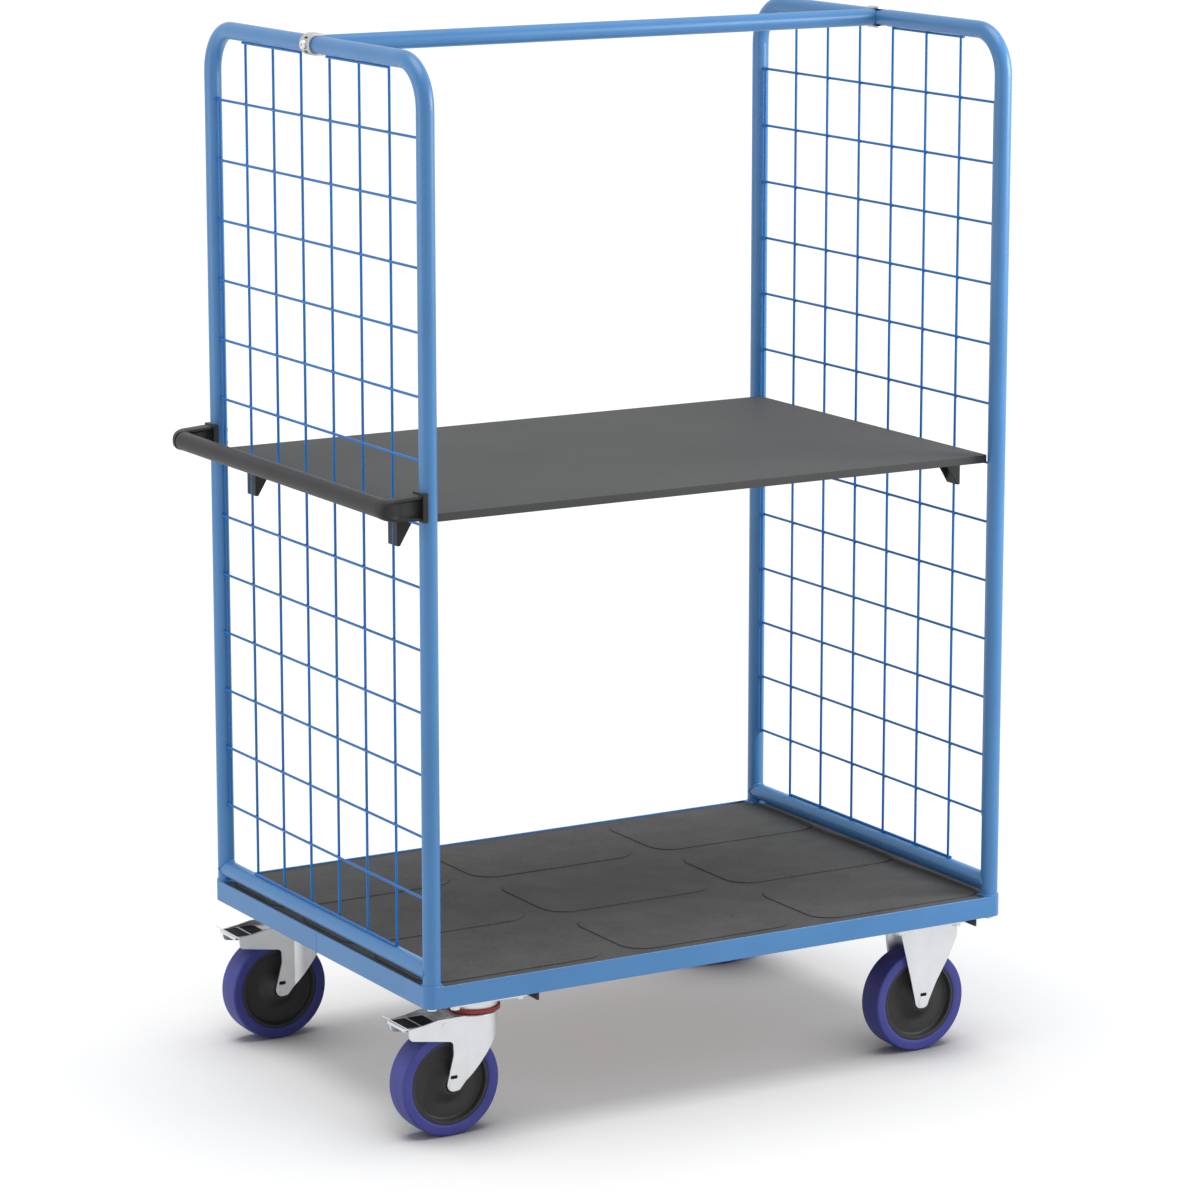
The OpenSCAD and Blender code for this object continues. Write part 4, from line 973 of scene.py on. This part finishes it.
# Start, step, count, length and turn of each family of wires
def wireFamilies(w, x, inward):
    def col(c):
        return w["firstCol"] + c * w["colPitch"]

    def row(r):
        return w["firstRow"] + r * w["rowPitch"]

    near, far = x + inward * w["offset"], x - inward * w["offset"]
    middle = (row(0) + row(w["rows"])) / 2
    tall = row(w["rows"]) - row(0) + 2 * w["wire"]
    low = -(col(1) - w["overhang"])
    mid = col((w["cols"] - 1) / 2) + w["overhang"]
    upright, level = (0.0, 0.0, 0.0), (math.pi / 2, 0.0, 0.0)
    return {
        "inner uprights": ((near, col(1), middle), (0, w["colPitch"], 0), w["cols"] - 1, tall, upright),
        "outer uprights": ((near, col(0), middle), (0, w["cols"] * w["colPitch"], 0), 2,
                           tall - 2 * w["rowPitch"] - 2 * w["wire"] + 2 * w["overhang"], upright),
        "cross wires": ((far, 0, row(1)), (0, 0, w["rowPitch"]), w["rows"] - 1, 2 * w["sideEnd"], level),
        "bottom wire": ((far, 0, row(0)), (0, 0, 1), 1, 2 * low, level),
        "top wires": ((far, (mid - low) / 2, row(w["rows"])), (0, low - mid, 0), 2, low + mid, level),
    }


def wallGroup(sizes, families):
    group, size = newGroup("wireWall", sizes)
    parts = []
    for family in families:
        line = addNode(group, "GeometryNodeMeshLine", dict(mode="OFFSET"), Count=size[family + " count"],
                       Start_Location=size[family + " start"], Offset=size[family + " step"])
        wire = addNode(group, "GeometryNodeMeshCylinder", Vertices=wall["wireSides"],
                       Radius=size["wire radius"], Depth=size[family + " length"])
        turnedWire = addNode(group, "GeometryNodeTransform", Geometry=wire.outputs["Mesh"],
                             Rotation=families[family][4])
        placed = addNode(group, "GeometryNodeInstanceOnPoints", Points=line.outputs[0],
                         Instance=turnedWire.outputs[0])
        parts.append(placed.outputs[0])
    grid = addNode(group, "GeometryNodeMeshGrid", Size_X=size["grid height"], Size_Y=size["grid width"],
                   Vertices_X=size["grid rows"], Vertices_Y=size["grid cols"])
    stood = addNode(group, "GeometryNodeTransform", Geometry=grid.outputs["Mesh"],
                    Translation=size["grid centre"], Rotation=(0.0, -math.pi / 2, 0.0))
    bead = addNode(group, "GeometryNodeMeshUVSphere", Segments=wall["nuggetSides"],
                   Rings=wall["nuggetRings"], Radius=1.0)
    shaped = addNode(group, "GeometryNodeTransform", Geometry=bead.outputs["Mesh"], Scale=size["nugget"])
    welds = addNode(group, "GeometryNodeInstanceOnPoints", Points=stood.outputs[0],
                    Instance=shaped.outputs[0])
    parts.append(welds.outputs[0])
    closeGroup(group, parts, size["finish"])
    return group


for side, (x, inward) in wallPlane.items():
    families = wireFamilies(wall, x, inward)
    sizes = {"wire radius": wall["wire"] * mm, "finish": wireCoat["material"],
             "nugget": tuple(n * mm for n in wall["nugget"]),
             "grid height": (wall["rows"] - 2) * wall["rowPitch"] * mm,
             "grid width": wall["cols"] * wall["colPitch"] * mm,
             "grid rows": wall["rows"] - 1, "grid cols": wall["cols"] + 1,
             "grid centre": (x * mm, 0.0, (wall["firstRow"] + wall["rows"] / 2 * wall["rowPitch"]) * mm)}
    for family, (start, step, count, length, turn) in families.items():
        sizes[family + " start"] = tuple(c * mm for c in start)
        sizes[family + " step"] = tuple(c * mm for c in step)
        sizes[family + " count"] = count
        sizes[family + " length"] = length * mm
    node = side + "_mesh"
    grow(side + "Mesh", wallGroup(sizes, families), sizes, nodeBody[node], (node,))
print("mesh walls welded")


# mat: a plain base sheet with nine raised fields, those at both ends a little longer
field = dict(length=290, extra=14, width=188, gapX=38, gapY=44, corner=40, cornerSteps=12, rise=1.5, sunk=0.4,
             base=1.2, centreX=29.5, low=241, skim=0.05)
bm = skinOf("deck_mat")
for f in [f for f in bm.faces if max(v.co.z for v in f.verts) > (field["low"] + field["skim"]) * mm]:
    bm.faces.remove(f)
bmesh.ops.delete(bm, geom=[v for v in bm.verts if not v.link_faces], context="VERTS")
bmesh.ops.delete(bm, geom=[e for e in bm.edges if not e.link_faces], context="EDGES")
grown = bmesh.ops.extrude_face_region(bm, geom=bm.faces[:])["geom"]
bmesh.ops.translate(bm, vec=(0, 0, field["base"] * mm),
                    verts=[v for v in grown if isinstance(v, bmesh.types.BMVert)])
bmesh.ops.recalc_face_normals(bm, faces=bm.faces)
addPiece(bm, "deck_mat")


def fieldGroup(sizes):
    group, size = newGroup("matField", sizes)
    sheet = addNode(group, "GeometryNodeCurvePrimitiveQuadrilateral", Width=size["length"],
                    Height=size["width"])
    cornered = addNode(group, "GeometryNodeFilletCurve", dict(mode="POLY"), Curve=sheet.outputs[0],
                       Count=field["cornerSteps"], Radius=size["corner"])
    flat = addNode(group, "GeometryNodeFillCurve", dict(mode="NGONS"), Curve=cornered.outputs[0])
    raised = addNode(group, "GeometryNodeExtrudeMesh", dict(mode="FACES"), Mesh=flat.outputs[0],
                     Offset_Scale=size["rise"], Individual=False)
    grid = addNode(group, "GeometryNodeMeshGrid", Size_X=size["span x"], Size_Y=size["span y"],
                   Vertices_X=size["columns"], Vertices_Y=3)
    laid = addNode(group, "GeometryNodeTransform", Geometry=grid.outputs["Mesh"],
                   Translation=size["centre"])
    fields = addNode(group, "GeometryNodeInstanceOnPoints", Points=laid.outputs[0],
                     Instance=raised.outputs[0])
    closeGroup(group, [fields.outputs[0]], size["finish"])
    return group


for name, columns, extra in (("matFields", 1, 0), ("matEndFields", 2, field["extra"])):
    length = field["length"] + extra
    apart = (columns - 1) * (field["length"] + length + 2 * field["gapX"])
    sizes = {"length": length * mm, "width": field["width"] * mm, "corner": field["corner"] * mm,
             "rise": (field["rise"] + field["sunk"]) * mm, "columns": columns,
             "finish": rubberMat["material"], "span x": apart * mm,
             "span y": 2 * (field["width"] + field["gapY"]) * mm,
             "centre": (field["centreX"] * mm, 0.0, (field["low"] + field["base"] - field["sunk"]) * mm)}
    grow(name, fieldGroup(sizes), sizes, nodeBody["deck_mat"], sharp=30)
print("mat laid")


# bolts from below: hexagon with a chamfer, washer and shank, in groups round each place
boltSets = {
    "casterBolts": dict(node="caster_bolts", head=7.6, high=5.2, washer=8.4, sheet=2, shank=4, length=20,
                        z=202, centreX=29.5, spanX=770, spanY=554, groupX=105, groupY=80, each=2),
    "postBolts": dict(node="post_bolts", head=7.6, high=5.2, washer=4.5, sheet=0.5, shank=4, length=52,
                      z=212, centreX=29.5, spanX=970, spanY=670, groupX=0, groupY=0, each=1),
}
boltShape = dict(headSides=6, washerSides=40, shankSides=20, chamferDepth=0.2, chamferRadius=0.86)


def boltGroup(sizes):
    group, size = newGroup("hexBolt", sizes)

    def raisedRod(sides, radius, depth, lift):
        rod = addNode(group, "GeometryNodeMeshCylinder", Vertices=sides, Radius=radius, Depth=depth)
        stood = addNode(group, "GeometryNodeTransform", Geometry=rod.outputs["Mesh"], Translation=lift)
        return stood.outputs[0]

    tip = addNode(group, "GeometryNodeMeshCone", Vertices=boltShape["headSides"],
                  Radius_Top=size["chamfer radius"], Radius_Bottom=size["head radius"],
                  Depth=size["chamfer depth"])
    turnedTip = addNode(group, "GeometryNodeTransform", Geometry=tip.outputs["Mesh"],
                        Translation=size["tip lift"], Rotation=(math.pi, 0.0, 0.0))
    parts = [raisedRod(boltShape[part + "Sides"], size[part + " radius"], size[part + " depth"],
                       size[part + " lift"]) for part in ("head", "washer", "shank")]
    parts.append(turnedTip.outputs[0])
    bolt = addNode(group, "GeometryNodeJoinGeometry")
    for part in parts:
        group.links.new(part, bolt.inputs[0])
    around = addNode(group, "GeometryNodeMeshGrid", Size_X=size["group x"], Size_Y=size["group y"],
                     Vertices_X=size["each"], Vertices_Y=size["each"])
    cluster = addNode(group, "GeometryNodeInstanceOnPoints", Points=around.outputs["Mesh"],
                      Instance=bolt.outputs[0])
    places = addNode(group, "GeometryNodeMeshGrid", Size_X=size["span x"], Size_Y=size["span y"],
                     Vertices_X=2, Vertices_Y=2)
    laid = addNode(group, "GeometryNodeTransform", Geometry=places.outputs["Mesh"],
                   Translation=size["centre"])
    spread = addNode(group, "GeometryNodeInstanceOnPoints", Points=laid.outputs[0],
                     Instance=cluster.outputs[0])
    closeGroup(group, [spread.outputs[0]], size["finish"])
    return group


def upBy(z):
    return (0.0, 0.0, z * mm)


for name, b in boltSets.items():
    chamfer = boltShape["chamferDepth"] * b["high"]
    plain = b["high"] - chamfer
    sizes = {"head radius": b["head"] * mm, "head depth": plain * mm, "head lift": upBy(-plain / 2),
             "chamfer radius": boltShape["chamferRadius"] * b["head"] * mm, "chamfer depth": chamfer * mm,
             "tip lift": upBy(-plain), "washer radius": b["washer"] * mm, "washer depth": b["sheet"] * mm,
             "washer lift": upBy(b["sheet"] / 2), "shank radius": b["shank"] * mm,
             "shank depth": b["length"] * mm, "shank lift": upBy(b["length"] / 2),
             "group x": b["groupX"] * mm, "group y": b["groupY"] * mm, "each": b["each"],
             "span x": b["spanX"] * mm, "span y": b["spanY"] * mm,
             "centre": (b["centreX"] * mm, 0.0, b["z"] * mm), "finish": zincPlate["material"]}
    grow(name, boltGroup(sizes), sizes, nodeBody[b["node"]], (b["node"],), sharp=25)
print("bolts set")


# weld beads: round each post foot, and along the saddle where a bottom rail meets its post
beads = dict(tubeRadius=13, stand=0.4, footZ=244.7, railZ=263, radius=1.5, ringSteps=48, sides=8,
             postX=(-455.5, 514.5), postY=335)


def beadGroup(sizes):
    group, size = newGroup("weldBead", sizes)
    ring = addNode(group, "GeometryNodeCurvePrimitiveCircle", Resolution=beads["ringSteps"],
                   Radius=size["tube radius"])
    place = addNode(group, "GeometryNodeInputPosition").outputs[0]
    split = addNode(group, "ShaderNodeSeparateXYZ", Vector=place)
    aside = addNode(group, "ShaderNodeMath", dict(operation="ABSOLUTE"), i0=split.outputs["Y"])
    drop = addNode(group, "ShaderNodeMath", dict(operation="MULTIPLY"), i0=aside.outputs[0],
                   i1=size["saddle"])
    lift = addNode(group, "ShaderNodeCombineXYZ", Z=drop.outputs[0])
    saddle = addNode(group, "GeometryNodeSetPosition", Geometry=ring.outputs[0], Offset=lift.outputs[0])
    section = addNode(group, "GeometryNodeCurvePrimitiveCircle", Resolution=beads["sides"],
                      Radius=size["bead radius"])
    bead = addNode(group, "GeometryNodeCurveToMesh", Curve=saddle.outputs[0],
                   Profile_Curve=section.outputs[0])
    turnedBead = addNode(group, "GeometryNodeTransform", Geometry=bead.outputs[0], Rotation=size["turn"])
    pair = addNode(group, "GeometryNodeMeshLine", dict(mode="OFFSET"), Count=2, Start_Location=size["start"],
                   Offset=size["step"])
    placed = addNode(group, "GeometryNodeInstanceOnPoints", Points=pair.outputs[0],
                     Instance=turnedBead.outputs[0])
    closeGroup(group, [placed.outputs[0]], size["finish"])
    return group


def growBeads(b):
    left, right = b["postX"]
    for end, sign in (("front", -1), ("rear", 1)):
        kinds = dict(FootWelds=(b["footZ"], 0.0, 0.0), RailWelds=(b["railZ"], -1.0, sign * -math.pi / 2))
        for kind, (z, saddle, turn) in kinds.items():
            sizes = {"tube radius": (b["tubeRadius"] + b["stand"]) * mm, "bead radius": b["radius"] * mm,
                     "saddle": saddle, "turn": (turn, 0.0, 0.0), "step": ((right - left) * mm, 0.0, 0.0),
                     "start": (left * mm, sign * b["postY"] * mm, z * mm), "finish": powderCoat["material"]}
            grow(end + kind, beadGroup(sizes), sizes, "chassis")


growBeads(beads)
print("welds laid")
